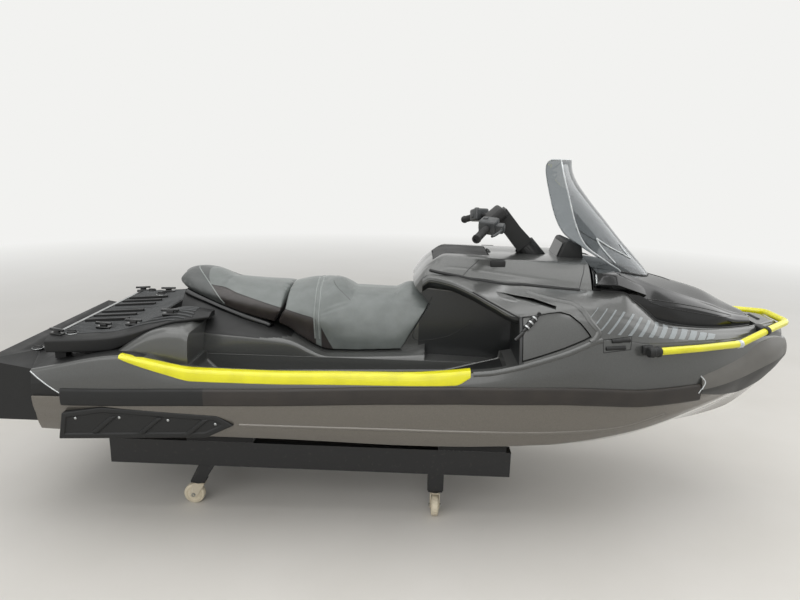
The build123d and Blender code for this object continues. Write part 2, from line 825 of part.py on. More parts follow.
# Black platform that lengthens the stern
PLATFORM_X = (-1865.0, TRANSOM_X)
PLATFORM_HALF = 550.0
PLATFORM_Z = (516.0, 560.0, 756.0, 774.0, 790.0)
PLATFORM_TUCK = 30.0
PLATFORM_LIP = 18.0
low, tuck, front, lip, top = PLATFORM_Z
platform_lip_x = PLATFORM_X[0] + PLATFORM_LIP
platform = side_plate(
    [
        (PLATFORM_X[0], tuck),
        (PLATFORM_X[0] + PLATFORM_TUCK, low),
        (PLATFORM_X[1], low),
        (PLATFORM_X[1], front),
        (platform_lip_x, top),
        (PLATFORM_X[0], lip),
    ],
    -PLATFORM_HALF,
    PLATFORM_HALF,
)
PLATFORM_SOCKET = (-1745.0, 330.0)
socket_x, socket_y = PLATFORM_SOCKET
platform_share = (socket_x - platform_lip_x) / (PLATFORM_X[1] - platform_lip_x)
socket_z = top + platform_share * (front - top)
platform_sockets = [accessory_socket(socket_x, y, socket_z) for y in (-socket_y, socket_y)]
save("stern_platform", platform - recesses(*platform_sockets))
save("accessory_sockets", grouped(*rack_sockets, *platform_sockets))

# Bow rail: one bent tube round the bow, with sockets and clamps
BOW_RAIL_R = 16.0
BOW_RAIL = [(1031, 498, 910), (1257, 412, 906), (1484, 304, 900), (1654, 206, 942), (1796, 97, 956)]
BOW_RAIL_BEND = 60.0
CLAMP_X = (1010.0, BOW_RAIL[3][0])
CLAMP = (24.0, 22.0)
CLAMP_REACH = 80.0
bow_points = BOW_RAIL + [(x, -y, z) for x, y, z in reversed(BOW_RAIL)]
bow_path = FilletPolyline(*bow_points, radius=BOW_RAIL_BEND)
bow_rail = sweep(
    Plane(origin=bow_path @ 0, z_dir=bow_path % 0) * Circle(BOW_RAIL_R), path=bow_path
)
save("bow_rail", bow_rail)
clamps = []
for x, (_, y, z) in zip(CLAMP_X, (BOW_RAIL[0], BOW_RAIL[3])):
    clamp = block(
        around(x, CLAMP[0]), (y - CLAMP_REACH, y + BOW_RAIL_R + RUN_GAP), around(z, CLAMP[1])
    )
    clamps.append(both_sides(largest(clamp - deck_body - shoulder_body - bow_rail)))
save("bow_rail_clamps", grouped(*clamps))

# Vents low on the shoulders, each with two slots
VENT = [(796, 928, 944), (815, 914, 957), (925, 902, 942), (940, 914, 930)]
VENT_SLOTS = [[(826, 938, 948), (924, 925, 935)], [(818, 920, 930), (916, 908, 917)]]
VENT_ROOT = 8.0
VENT_PROUD = 7.0
SLOT_FLOOR = 1.5
vent = side_strip(VENT, VENT_ROOT, VENT_PROUD)
for rows in VENT_SLOTS:
    vent -= side_strip(rows, -SLOT_FLOOR, VENT_PROUD + VENT_ROOT)
save("side_vents", both_sides(vent))

# Rubber strap latch across each knee pocket's front corner
STRAP_ENDS = ((462.0, 985.0), (530.0, 1052.0))
STRAP = (22.0, 12.0)
STRAP_RING_R = (16.0, 8.0)


def shoulder_y(x, z):
    """Half breadth of the shoulders' side at a height."""
    low_y, low_z = at(x, "edge_y") - 2, at(x, "edge_z")
    high_y, high_z = at(x, "crest_y", SHOULDERS), at(x, "crest_z", SHOULDERS)
    return low_y + (high_y - low_y) * (z - low_z) / (high_z - low_z)


strap_low, strap_high = [Vector(x, shoulder_y(x, z), z) for x, z in STRAP_ENDS]
strap_run = strap_high - strap_low
strap_out = strap_run.cross(Vector(0, 1, 0)).cross(strap_run)
strap_face = Plane(origin=(strap_low + strap_high) / 2, x_dir=strap_run, z_dir=strap_out)
ring_r, ring_bore = STRAP_RING_R
strap_ring = Cylinder(ring_r, 2 * STRAP[1]) - Cylinder(ring_bore, 3 * STRAP[1])
pocket_strap = strap_face * (Box(strap_run.length, *STRAP) + strap_ring)
save("pocket_straps", both_sides(largest(pocket_strap - shoulder_body)))

# Hood over the front storage, hinged at its front edge
Hood = namedtuple("Hood", "x fold_y fold_z mid_y mid_z top_z")
HOOD = [
    Hood(*row)
    for row in (
        (800, 300, 1172, 235, 1222, 1238),
        (930, 296, 1150, 222, 1196, 1212),
        (1100, 298, 1069, 206, 1142, 1168),
        (1240, 272, 1050, 190, 1098, 1133),
        (1400, 234, 1015, 158, 1048, 1088),
        (1520, 172, 980, 116, 1004, 1030),
        (1606, 128, 968, 70, 984, 992),
    )
]
HOOD_WALL = 16.0
HOOD_FOOT = (2.0, 30.0)  # over the shoulders' inner edge and below it
HOOD_PIVOT = (1622.0, 0, 966.0)
HOOD_PIN_R = 5.0
HOOD_KNUCKLE_R = 11.0
HOOD_KNUCKLE_Y = (24.0, 46.0)
HOOD_ARM_X = 1570.0
HOOD_ARM_Z = (968.0, 990.0)
HOOD_POST = (18.0, 14.0)


def hood_outline(row):
    """The hood's section: an open shell, its foot just inside the shoulders."""
    foot_y = at(row.x, "inner_y", SHOULDERS) - RUN_GAP
    foot_z = at(row.x, "inner_z", SHOULDERS) + HOOD_FOOT[0]
    low = max(foot_z - HOOD_FOOT[1], POCKET_FLOOR + RUN_GAP)
    outer = [
        (foot_y, low),
        (foot_y, foot_z),
        (row.fold_y, row.fold_z),
        (row.mid_y, row.mid_z),
        (0, row.top_z),
    ]
    inner = [
        (0, row.top_z - HOOD_WALL),
        (row.mid_y - HOOD_WALL, row.mid_z - HOOD_WALL),
        (row.fold_y - HOOD_WALL, row.fold_z - HOOD_WALL / 2),
        (foot_y - HOOD_WALL, foot_z),
        (foot_y - HOOD_WALL, low),
    ]
    across = outer + [(-y, z) for y, z in reversed(outer[:-1])]
    back = [(-y, z) for y, z in reversed(inner[1:])]
    return across + back + inner


hood_shell = skin([(row.x, hood_outline(row)) for row in HOOD])
hinge_x, _, hinge_z = HOOD_PIVOT
hood_pin_end = HOOD_KNUCKLE_Y[1] + RUN_GAP + HOOD_POST[1]
knuckle = rod(*[(hinge_x, y, hinge_z) for y in HOOD_KNUCKLE_Y], HOOD_KNUCKLE_R)
hood_arm = knuckle + side_plate(
    [
        (hinge_x, hinge_z - HOOD_PIN_R - 1),
        (hinge_x, hinge_z + HOOD_KNUCKLE_R),
        (HOOD_ARM_X, HOOD_ARM_Z[1]),
        (HOOD_ARM_X, HOOD_ARM_Z[0]),
    ],
    *HOOD_KNUCKLE_Y,
)
hood_pin = rod((hinge_x, -hood_pin_end, hinge_z), (hinge_x, hood_pin_end, hinge_z), HOOD_PIN_R)
hood_arm -= rod(
    (hinge_x, 0, hinge_z), (hinge_x, hood_pin_end, hinge_z), HOOD_PIN_R + PIN_GAP
)
hood = hood_shell + hood_arm + mirror(hood_arm, about=LEFT)
save("hood", hood)
pin_post = block(
    around(hinge_x, HOOD_POST[0] / 2),
    (hood_pin_end - HOOD_POST[1], hood_pin_end),
    (POCKET_FLOOR - HOOD_WALL, hinge_z + HOOD_PIN_R + 3),
)
save("hood_hinge", hood_pin + pin_post + mirror(pin_post, about=LEFT) - shoulders - deck)

# Windshield on the hood
Screen = namedtuple("Screen", "z front_x edge_x edge_y")
SCREEN = [
    Screen(*row)
    for row in (
        (1130, 1160, 990, 172),
        (1194, 1108, 952, 190),
        (1240, 1064, 880, 215),
        (1320, 986, 768, 224),
        (1410, 905, 718, 228),
        (1520, 806, 682, 224),
        (1620, 730, 654, 208),
        (1688, 722, 648, 150),
    )
]
SCREEN_T = 5.0
SCREEN_SLANT = 1.4  # how much thicker it measures straight aft at its front


def screen_wire(row):
    """A curved band at one height, bulging forward."""
    outer = ThreePointArc(
        (row.edge_x, row.edge_y, row.z), (row.front_x, 0, row.z), (row.edge_x, -row.edge_y, row.z)
    )
    inner = ThreePointArc(
        (row.edge_x, row.edge_y - SCREEN_T, row.z),
        (row.front_x - SCREEN_T * SCREEN_SLANT, 0, row.z),
        (row.edge_x, -row.edge_y + SCREEN_T, row.z),
    )
    ends = [Line(outer @ 0, inner @ 0), Line(outer @ 1, inner @ 1)]
    return Wire([line.edges()[0] for line in (outer, inner, *ends)])


windshield = Solid.make_loft([screen_wire(row) for row in SCREEN], ruled=True)
windshield = largest(windshield - Pos(0, 0, SEAT_GAP) * hood)
save("windshield", windshield)

# Mirror pods on the hood's shoulders, with their glasses facing aft
Pod = namedtuple("Pod", "x inner outer low high")
PODS = [
    Pod(*row)
    for row in (
        (806, 250, 352, 1142, 1216),
        (900, 246, 350, 1140, 1208),
        (1040, 240, 300, 1090, 1140),
    )
]
POD_DROP = (10.0, 6.0)  # of the inner and outer corners
POD_BEVEL = (20.0, 22.0, 30.0)
GLASS_T = 3.0
GLASS_SHARE = 0.78


def pod_outline(row):
    """A pod's section, from its root on the hood out to its rounded edge."""
    low_in, rise, high_in = POD_BEVEL
    return [
        (row.inner, row.low - POD_DROP[0]),
        (row.outer - low_in, row.low),
        (row.outer, row.low + rise),
        (row.outer - high_in, row.high - POD_DROP[1]),
        (row.inner, row.high),
    ]


pod = skin([(row.x, pod_outline(row)) for row in PODS])
pod = pod - hood - Pos(0, 0, RUN_GAP) * shoulder_body - windshield
save("mirror_pods", both_sides(largest(pod)))
aft_face = pod_outline(PODS[0])
face_y = sum(y for y, _ in aft_face) / len(aft_face)
face_z = sum(z for _, z in aft_face) / len(aft_face)
glass_outline = [
    (face_y + GLASS_SHARE * (y - face_y), face_z + GLASS_SHARE * (z - face_z)) for y, z in aft_face
]
glass_x = PODS[0].x - SEAT_GAP
glass = skin([(x, glass_outline) for x in (glass_x - GLASS_T, glass_x)]) - Pos(0, 0, SEAT_GAP) * hood
save("mirror_glasses", both_sides(largest(glass)))

# Display on the console, behind the windshield
DISPLAY = [(690, 1230), (700, 1300), (770, 1282), (780, 1230)]
DISPLAY_HALF = 95.0
save("display", largest(side_plate(DISPLAY, -DISPLAY_HALF, DISPLAY_HALF) - console))

# Steering: a raked column, its riser, bar, grips and levers
STEER_PIVOT = (560.0, 0, 1248.0)
STEER_RAKE = radians(42)
STEER_AXIS = (-sin(STEER_RAKE), 0, cos(STEER_RAKE))
BOSS_R = 52.0
BOSS_TOP = 44.0
BOSS_ROOT = 60.0
RISER = [(BOSS_TOP + SEAT_GAP, 110, 84), (130, 96, 76), (242, 128, 84)]  # up, wide, deep
BAR_R = 11.0
BAR = [(396, 0, 1402), (372, 130, 1408), (330, 240, 1392), (262, 392, 1352)]
GRIP_R = 17.0
GRIP_SHARE = 0.16  # of the last straight run, before the grip starts
LEVER_ROOT = (392, 222, 1398)
LEVER_TIP = (330, 372, 1366)
LEVER_R = 6.0
PERCH_R = 13.0
steer_frame = Plane(origin=STEER_PIVOT, x_dir=(0, 1, 0), z_dir=STEER_AXIS)
boss = Pos(0, 0, (BOSS_TOP - BOSS_ROOT) / 2) * Cylinder(BOSS_R, BOSS_TOP + BOSS_ROOT)
save("steering_boss", largest(steer_frame * boss - console))
riser_faces = [steer_frame * Pos(0, 0, up) * Rectangle(wide, deep) for up, wide, deep in RISER]
riser = Solid.make_loft([face.wire() for face in riser_faces], ruled=True)
bar = rod(BAR[0], BAR[1], BAR_R)
for start, end in zip(BAR[1:], BAR[2:]):
    bar = bar + rod(start, end, BAR_R) + Pos(*start) * Sphere(BAR_R)
bar += mirror(bar, about=LEFT)
save("handlebar", bar)
save("steering_riser", riser - bar)
bar_bend, bar_end = Vector(*BAR[2]), Vector(*BAR[3])
grip_start = bar_bend + (bar_end - bar_bend) * GRIP_SHARE
grip = rod(grip_start, bar_end, GRIP_R) - rod(bar_bend, bar_end, BAR_R)
save("grips", both_sides(grip))
lever = rod(LEVER_ROOT, LEVER_TIP, LEVER_R) + rod(BAR[2], LEVER_ROOT, PERCH_R) - bar
save("control_levers", both_sides(largest(lever)))

# Front storage bin under the hood
BIN_WALL = 6.0
BIN_TOP = POCKET_FLOOR - 5
bin_outer = block(
    (WELL_X[0] + SEAT_GAP, WELL_X[1] - SEAT_GAP),
    around(0, WELL_HALF - SEAT_GAP),
    (WELL_FLOOR + SEAT_GAP, BIN_TOP),
)
bin_inner = block(
    (WELL_X[0] + BIN_WALL, WELL_X[1] - BIN_WALL),
    around(0, WELL_HALF - BIN_WALL),
    (WELL_FLOOR + BIN_WALL, SKY_Z),
)
save("storage_bin", bin_outer - bin_inner)

# Engine, one plain block on its bay's floor
ENGINE_X = (-560.0, 140.0)
ENGINE_HALF = 190.0
ENGINE_TOP = 745.0
save("engine_block", block(ENGINE_X, around(0, ENGINE_HALF), (BAY_FLOOR + SEAT_GAP, ENGINE_TOP)))

# Jet pump: a housing with guide vanes, which narrows to the venturi
PUMP_R = 92.0
PUMP_BORE = 82.0
VENTURI_R = 46.0
VENTURI_BORE = 38.0
PUMP_X = (-1350.0, -1590.0, -1600.0, -1650.0, -1655.0, -1712.0)
FLANGE_X = (TRANSOM_X, TRANSOM_X + 14)
FLANGE_LOW = 302.0
FLANGE_FIT = 0.4
EAR_Y = (121.0, 129.0)
EAR_HALF = 26.0
EAR_END = 16.0
TRUNNION_R = 8.0
VANE_X = around(-1560, 20)
VANE_T = 5.0
VANE_TURN = 18.0
VANE_HUB_R = 28.0
VANE_HUB_X = (-1585.0, -1540.0)
BUCKET_PIVOT_X = -1745.0


def turned(points):
    """A ring turned about the shaft line, from (x, radius) points."""
    face = make_face(Polyline(*[(x, SHAFT_Z + r) for x, r in points], close=True))
    return revolve(Plane.XZ * face, axis=Axis((0, 0, SHAFT_Z), (1, 0, 0)))


def along_shaft(x_low, x_high, radius):
    """A round bar on the shaft line."""
    return rod((x_low, 0, SHAFT_Z), (x_high, 0, SHAFT_Z), radius)


def blade(x, hub_r, tip_r, sections):
    """A blade standing on the shaft line, twisting through (turn, chord, thickness) sections."""
    wires = []
    for i, (turn, chord, thickness) in enumerate(sections):
        radius = hub_r + (tip_r - hub_r) * i / (len(sections) - 1)
        face = Pos(x, 0, radius) * Rot(0, 0, turn) * Rectangle(chord, thickness)
        wires.append(face.wire())
    return Solid.make_loft(wires, ruled=True)


def ring_of(piece, count, start=0.0):
    """The piece, standing on the origin's X line, copied round the shaft line."""
    return [Pos(0, 0, SHAFT_Z) * Rot(start + i * 360 / count, 0, 0) * piece for i in range(count)]


mouth, bore_end, shell_end, throat, neck, outlet = PUMP_X
outside = [(mouth, PUMP_R), (shell_end, PUMP_R), (neck, VENTURI_R), (outlet, VENTURI_R)]
inside = [(outlet, VENTURI_BORE), (throat, VENTURI_BORE), (bore_end, PUMP_BORE), (mouth, PUMP_BORE)]
housing = turned(outside + inside)
flange = block(
    FLANGE_X, around(0, TUNNEL_HALF - FLANGE_FIT), (FLANGE_LOW, TUNNEL_TOP - FLANGE_FIT)
)
housing += flange - turned([(mouth, 0), *outside, (outlet, 0)])
ear = side_plate(
    [
        (FLANGE_X[0] + 10, SHAFT_Z - EAR_HALF),
        (FLANGE_X[0] + 10, SHAFT_Z + EAR_HALF),
        (BUCKET_PIVOT_X, SHAFT_Z + EAR_END),
        (BUCKET_PIVOT_X - EAR_END, SHAFT_Z),
        (BUCKET_PIVOT_X, SHAFT_Z - EAR_END),
    ],
    *EAR_Y,
)
trunnion_y = (EAR_Y[0] - 13, EAR_Y[1])
ear += rod(*[(BUCKET_PIVOT_X, y, SHAFT_Z) for y in trunnion_y], TRUNNION_R)
housing += ear + mirror(ear, about=LEFT)
vane_chord = VANE_X[1] - VANE_X[0]
vane = blade(sum(VANE_X) / 2, VANE_HUB_R - 4, PUMP_BORE + 4, [(VANE_TURN, vane_chord, VANE_T)] * 2)
for piece in ring_of(vane, 5):
    housing += piece
housing += along_shaft(*VANE_HUB_X, VANE_HUB_R)
save("pump_housing", housing)

# Impeller of twisted blades, with its shaft
HUB_X = (-1532.0, -1440.0)
HUB_R = 26.0
BLADE_X = -1486.0
BLADE_GAP = 3.0
BLADE = [(42, 60, 6), (52, 70, 5.5), (62, 80, 5), (70, 88, 4)]  # turn, chord, thickness
SHAFT_X = (-1539.5, -563.0)
impeller = along_shaft(*HUB_X, HUB_R)
for piece in ring_of(blade(BLADE_X, HUB_R - 4, PUMP_BORE + 2, BLADE), 4):
    impeller += piece
impeller &= along_shaft(VANE_HUB_X[1], mouth, PUMP_BORE - BLADE_GAP)
save("impeller", impeller + along_shaft(*SHAFT_X, SHAFT_R))

# Steering nozzle round the venturi's end
NOZZLE_PIVOT_X = -1695.0
NOZZLE = [(-1674, 57), (-1674, 63), (-1726, 63), (-1798, 48), (-1798, 41), (-1730, 56)]
PIVOT_TOP = 62.0
nozzle_pin = rod(
    (NOZZLE_PIVOT_X, 0, SHAFT_Z + VENTURI_R + PIN_GAP),
    (NOZZLE_PIVOT_X, 0, SHAFT_Z + PIVOT_TOP),
    TRUNNION_R,
)
nozzle = turned(NOZZLE) + nozzle_pin + mirror(nozzle_pin, about=Plane.XY.offset(SHAFT_Z))
save("nozzle", nozzle)

# Reverse bucket on the housing's ears
BUCKET_R = (80.0, 86.0)
BUCKET_ARC = (35, 115)
BUCKET_Y = (110.0, 117.0)
BUCKET_HEEL = (20.0, 200, 270, 340)  # radius, then angles of the cheek's corners
WEDGE_R = 160.0


def arc_point(radius, angle):
    """A point round the bucket's pivot, angle up from straight aft."""
    turn = radians(angle)
    return (BUCKET_PIVOT_X - radius * cos(turn), SHAFT_Z + radius * sin(turn))


bucket_arc = (BUCKET_ARC[0], sum(BUCKET_ARC) / 2, BUCKET_ARC[1])
scoop = Cylinder(BUCKET_R[1], 2 * BUCKET_Y[1]) - Cylinder(BUCKET_R[0], 3 * BUCKET_Y[1])
wedge = side_plate(
    [(BUCKET_PIVOT_X, SHAFT_Z)] + [arc_point(WEDGE_R, angle) for angle in bucket_arc],
    -BUCKET_Y[1],
    BUCKET_Y[1],
)
bucket = (Pos(BUCKET_PIVOT_X, 0, SHAFT_Z) * Rot(90, 0, 0) * scoop) & wedge
cheek = side_plate(
    [arc_point(BUCKET_R[1], angle) for angle in bucket_arc]
    + [arc_point(BUCKET_HEEL[0], angle) for angle in BUCKET_HEEL[1:]],
    *BUCKET_Y,
)
cheek -= rod(
    (BUCKET_PIVOT_X, 0, SHAFT_Z), (BUCKET_PIVOT_X, 2 * BUCKET_Y[1], SHAFT_Z), TRUNNION_R + PIN_GAP
)
bucket += cheek + mirror(cheek, about=LEFT)
save("reverse_bucket", bucket)

# Ride plate and intake grate under the pump
RIDE_Z = (286.0, 296.0)
RIDE_END_X = -1780.0
RIDE_HALF = TUNNEL_HALF - FLANGE_FIT
GRATE_X = (-1351.0, TUNNEL_X - SEAT_GAP)
GRATE_BAR = 10.0
GRATE_BARS = 6
ride_plate = block((RIDE_END_X, GRATE_X[0] - SEAT_GAP), around(0, RIDE_HALF), RIDE_Z)
save("ride_plate", ride_plate)
grate = block(GRATE_X, around(0, RIDE_HALF), RIDE_Z)
bar_pitch = (2 * RIDE_HALF - GRATE_BAR) / (GRATE_BARS - 1)
for i in range(GRATE_BARS - 1):
    y = bar_pitch * (i + 0.5) - RIDE_HALF + GRATE_BAR / 2
    gap_x = (GRATE_X[0] + GRATE_BAR, GRATE_X[1] - GRATE_BAR)
    grate -= block(gap_x, around(y, (bar_pitch - GRATE_BAR) / 2), (0, SKY_Z))
save("intake_grate", grate)

# Display cradle: beams, cross bars and bunks
BEAM_X = (-1435.0, 483.0)
BEAM_Y = (285.0, 350.0)
BEAM_Z = (216.0, 342.0)
CASTOR_X = (-1020.0, 134.0)
CROSS_HALF = 40.0
CROSS_TOP = 268.0
BUNK_X = (-900.0, 300.0)
BUNK_REACH = 160.0
BUNK_TOP = 460.0
save("cradle_beams", both_sides(block(BEAM_X, BEAM_Y, BEAM_Z)))
crossbars = [
    block(around(x, CROSS_HALF), around(0, BEAM_Y[0]), (BEAM_Z[0], CROSS_TOP)) for x in CASTOR_X
]
save("cradle_crossbars", grouped(*crossbars))
bunks = [block(around(x, BUNK_REACH), BEAM_Y, (BEAM_Z[1], BUNK_TOP)) - hull_body for x in BUNK_X]
save("cradle_bunks", both_sides(grouped(*bunks)))

# Castors: solid wheels in swivelling forks, under fixed heads
WHEEL_R = 50.0
WHEEL_W = 32.0
WHEEL_BEVEL = 4.0
AXLE_R = 6.0
TRAIL = 26.0
FORK_Y = (19.5, 23.5)
FORK_FOOT = (14.0, 38.0, 70.0)
FORK_HEAD = (28.0, 104.0, 112.0)
AXLE_PROUD = 4.0
HEAD_Z = (118.0, 128.0)
HEAD_HALF = (34.0, 28.0)
RACE_R = 26.0
RACE_T = 5.4
STEM_R = 9.0
POST_HALF = (38.0, 32.0)
BRACKET_X = (10.0, 88.0)
castor_y = sum(BEAM_Y) / 2


def castor_wheel(x, y, heading):
    """A solid wheel trailing behind its swivel, standing on the floor."""
    tread = Cylinder(WHEEL_R, WHEEL_W) - Cylinder(AXLE_R + PIN_GAP, WHEEL_W * 2)
    rims = tread.edges().filter_by(GeomType.CIRCLE).sort_by(SortBy.RADIUS)[-2:]
    tread = chamfer(rims, WHEEL_BEVEL)
    return Pos(x, y, WHEEL_R) * Rot(0, 0, heading) * Pos(-TRAIL, 0, 0) * Rot(90, 0, 0) * tread


def castor_fork(x, y, heading):
    """The swivelling fork with its axle and stem."""
    foot, foot_z, knee_z = FORK_FOOT
    head, shoulder_z, top_z = FORK_HEAD
    cheek = side_plate(
        [
            (-TRAIL - foot, foot_z),
            (-TRAIL + foot, foot_z),
            (head, shoulder_z),
            (head, top_z),
            (-head, top_z),
            (-TRAIL - foot, knee_z),
        ],
        *FORK_Y,
    )
    fork = cheek + mirror(cheek, about=LEFT)
    fork += block(around(0, head), around(0, FORK_Y[1]), (top_z - RUN_GAP, top_z))
    axle_end = FORK_Y[1] + AXLE_PROUD
    fork += rod((-TRAIL, -axle_end, WHEEL_R), (-TRAIL, axle_end, WHEEL_R), AXLE_R)
    fork += rod((0, 0, top_z - 1), (0, 0, HEAD_Z[1] - 2), STEM_R)
    return Pos(x, y, 0) * Rot(0, 0, heading) * fork


def castor_head(x, y):
    """The fixed plate over a castor, on an angled bracket aft or a post forward."""
    head_x, head_y = HEAD_HALF
    low, high = HEAD_Z
    head = block(around(0, head_x), around(0, head_y), HEAD_Z)
    head += rod((0, 0, low - RACE_T), (0, 0, low), RACE_R)
    if x < 0:
        foot = [(-head_x, high), (head_x, high)]
        head += side_plate(
            foot + [(BRACKET_X[1], BEAM_Z[0]), (BRACKET_X[0], BEAM_Z[0])], *around(0, head_y)
        )
    else:
        head += block(around(0, POST_HALF[0]), around(0, POST_HALF[1]), (high, BEAM_Z[0]))
    head -= rod((0, 0, 0), (0, 0, high + AXLE_PROUD), STEM_R + PIN_GAP)
    return Pos(x, y, 0) * head


CASTORS = [
    ("rear_port", CASTOR_X[0], castor_y, 0),
    ("rear_starboard", CASTOR_X[0], -castor_y, 0),
    ("front_port", CASTOR_X[1], castor_y, 90),
    ("front_starboard", CASTOR_X[1], -castor_y, 90),
]
for name, x, y, heading in CASTORS:
    save(f"castor_fork_{name}", castor_fork(x, y, heading))
    save(f"castor_wheel_{name}", castor_wheel(x, y, heading))
save("castor_heads", grouped(*[castor_head(x, y) for _, x, y, _ in CASTORS]))
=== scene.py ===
# %% [markdown]
# # A touring watercraft on its wheeled cradle
# The solid model gives every piece its place and size. This script loads it, puts the real
# surfaces, seams and small fittings round it, gives each piece its finish, and lights it on
# a pale floor. Lengths are metres, and a value in millimetres is multiplied by MM.

# %% Load the solid model
import json
import math

import bpy
from mathutils import Matrix, Vector

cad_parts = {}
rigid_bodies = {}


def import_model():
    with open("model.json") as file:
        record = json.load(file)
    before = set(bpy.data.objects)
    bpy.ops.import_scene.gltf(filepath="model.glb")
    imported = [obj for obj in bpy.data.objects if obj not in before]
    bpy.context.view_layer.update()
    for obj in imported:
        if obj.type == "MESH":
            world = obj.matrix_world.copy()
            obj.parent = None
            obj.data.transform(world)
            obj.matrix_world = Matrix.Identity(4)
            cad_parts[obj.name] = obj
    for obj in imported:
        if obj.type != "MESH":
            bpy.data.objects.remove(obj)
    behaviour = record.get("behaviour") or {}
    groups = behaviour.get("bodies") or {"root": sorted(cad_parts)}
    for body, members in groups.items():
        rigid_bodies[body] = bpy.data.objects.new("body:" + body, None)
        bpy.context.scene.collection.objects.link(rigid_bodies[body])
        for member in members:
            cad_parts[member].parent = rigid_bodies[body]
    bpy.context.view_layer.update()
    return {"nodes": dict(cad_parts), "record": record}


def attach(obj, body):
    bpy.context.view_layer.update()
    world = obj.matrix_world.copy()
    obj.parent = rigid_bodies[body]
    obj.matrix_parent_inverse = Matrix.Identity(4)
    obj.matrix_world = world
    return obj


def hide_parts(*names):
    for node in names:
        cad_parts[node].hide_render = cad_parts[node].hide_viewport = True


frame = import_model()
MM = 0.001
record = frame["record"]
BODY_OF = {node: body for body, nodes in record["behaviour"]["bodies"].items() for node in nodes}
scene = bpy.context.scene

# %% [markdown]
# ## Camera
# The real picture was taken standing, a little above the seat, with a wide lens that looks
# slightly down. A camera is an object whose local axes are right, up and backwards, so its
# matrix is written from those three directions.

# %% Set the camera
CAMERA_PLACE = Vector((0.02, -3.034, 1.714))
CAMERA_DOWN = math.radians(13.58)
CAMERA_ROLL = math.radians(1.42)
CAMERA_TURN = math.radians(1.66)
IMAGE_WIDTH = 800
FOCAL_PIXELS = 620
SENSOR = 36.0

ahead = Vector((-math.sin(CAMERA_TURN), math.cos(CAMERA_TURN), 0))
right = Vector((math.cos(CAMERA_TURN), math.sin(CAMERA_TURN), 0))
forward = ahead * math.cos(CAMERA_DOWN) - Vector((0, 0, 1)) * math.sin(CAMERA_DOWN)
upward = ahead * math.sin(CAMERA_DOWN) + Vector((0, 0, 1)) * math.cos(CAMERA_DOWN)
image_right = right * math.cos(CAMERA_ROLL) + upward * math.sin(CAMERA_ROLL)
image_up = upward * math.cos(CAMERA_ROLL) - right * math.sin(CAMERA_ROLL)
bpy.ops.object.camera_add()
camera = bpy.context.object
camera.name = "camera"
camera.data.sensor_width = SENSOR
camera.data.lens = FOCAL_PIXELS / IMAGE_WIDTH * SENSOR
camera.matrix_world = Matrix.Translation(CAMERA_PLACE) @ Matrix(
    (image_right, image_up, -forward)
).transposed().to_4x4()
scene.camera = camera
scene.view_settings.view_transform = "Standard"
print("lens", round(camera.data.lens, 2), "mm")

# %% [markdown]
# ## Helpers for shapes
# Blender's operators act on whatever is selected, so each helper first deselects
# everything. Faces and edges are then picked in code, by where they are or which way they
# face.

# %% Select, edit and finish a mesh
def select_only(obj):
    """Makes obj the one selected and active object."""
    bpy.ops.object.select_all(action="DESELECT")
    obj.select_set(True)
    bpy.context.view_layer.objects.active = obj


def edit(obj, steps, pick=None):
    """Runs steps() in edit mode on all faces, or on those for which pick(face) is true."""
    select_only(obj)
    bpy.ops.object.mode_set(mode="EDIT")
    bpy.ops.mesh.select_mode(type="FACE")
    bpy.ops.mesh.select_all(action="SELECT" if pick is None else "DESELECT")
    bpy.ops.object.mode_set(mode="OBJECT")
    if pick is not None:
        for face in obj.data.polygons:
            face.select = bool(pick(face))
    bpy.ops.object.mode_set(mode="EDIT")
    steps()
    bpy.ops.object.mode_set(mode="OBJECT")


def modify(obj, kind, **settings):
    """Adds a modifier with its settings and applies it."""
    select_only(obj)
    modifier = obj.modifiers.new(kind.title(), kind)
    for key, value in settings.items():
        setattr(modifier, key, value)
    bpy.ops.object.modifier_apply(modifier=modifier.name)


def settle(obj):
    """Moves an object's place, turn and size into its mesh."""
    select_only(obj)
    bpy.ops.object.transform_apply(location=True, rotation=True, scale=True)


def smooth(obj, degrees=32):
    """Smooth shading, with a crease wherever faces meet at more than this angle."""
    select_only(obj)
    bpy.ops.object.shade_smooth_by_angle(angle=math.radians(degrees))


def put(obj, spot, turn=(0, 0, 0)):
    """Turns a piece by three angles in degrees, moves it to its place and settles it."""
    obj.rotation_euler = [math.radians(angle) for angle in turn]
    obj.location = spot
    settle(obj)


def aim(obj, spot, axis, way):
    """Turns a piece's own axis to a direction, moves it to its place and settles it."""
    obj.rotation_mode = "QUATERNION"
    obj.rotation_quaternion = Vector(axis).rotation_difference(Vector(way))
    obj.location = spot
    settle(obj)


# %% Copies of the solids, rounding and finish
SAME_PLACE = 0.02 * MM
FLAT_ENOUGH = math.radians(0.6)


def merged_copy(node, name):
    """A copy of a solid's mesh, its loose triangles joined and its flat faces made whole."""
    obj = bpy.data.objects.new(name, frame["nodes"][node].data.copy())
    bpy.context.collection.objects.link(obj)
    obj.data.materials.clear()

    def join():
        bpy.ops.mesh.remove_doubles(threshold=SAME_PLACE)
        bpy.ops.mesh.dissolve_limited(angle_limit=FLAT_ENOUGH)

    edit(obj, join)
    return obj


def rounded(obj, width, segments=3, degrees=32):
    """Rounds every edge sharper than the angle."""
    angle = math.radians(degrees)
    modify(
        obj, "BEVEL", width=width, segments=segments, angle_limit=angle, miter_outer="MITER_ARC"
    )


def finish(obj, material, replaces=(), body="craft", crease=None):
    """Gives a piece its shading, material and body, and hides the solids it stands for."""
    settle(obj)
    if crease:
        smooth(obj, crease)
    obj.data.materials.clear()
    obj.data.materials.append(material)
    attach(obj, body)
    if replaces:
        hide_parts(*replaces)


def paint(obj, material, where):
    """Gives a second material to the faces for which where(face) is true."""
    obj.data.materials.append(material)
    for face in obj.data.polygons:
        face.material_index = 1 if where(face) else 0


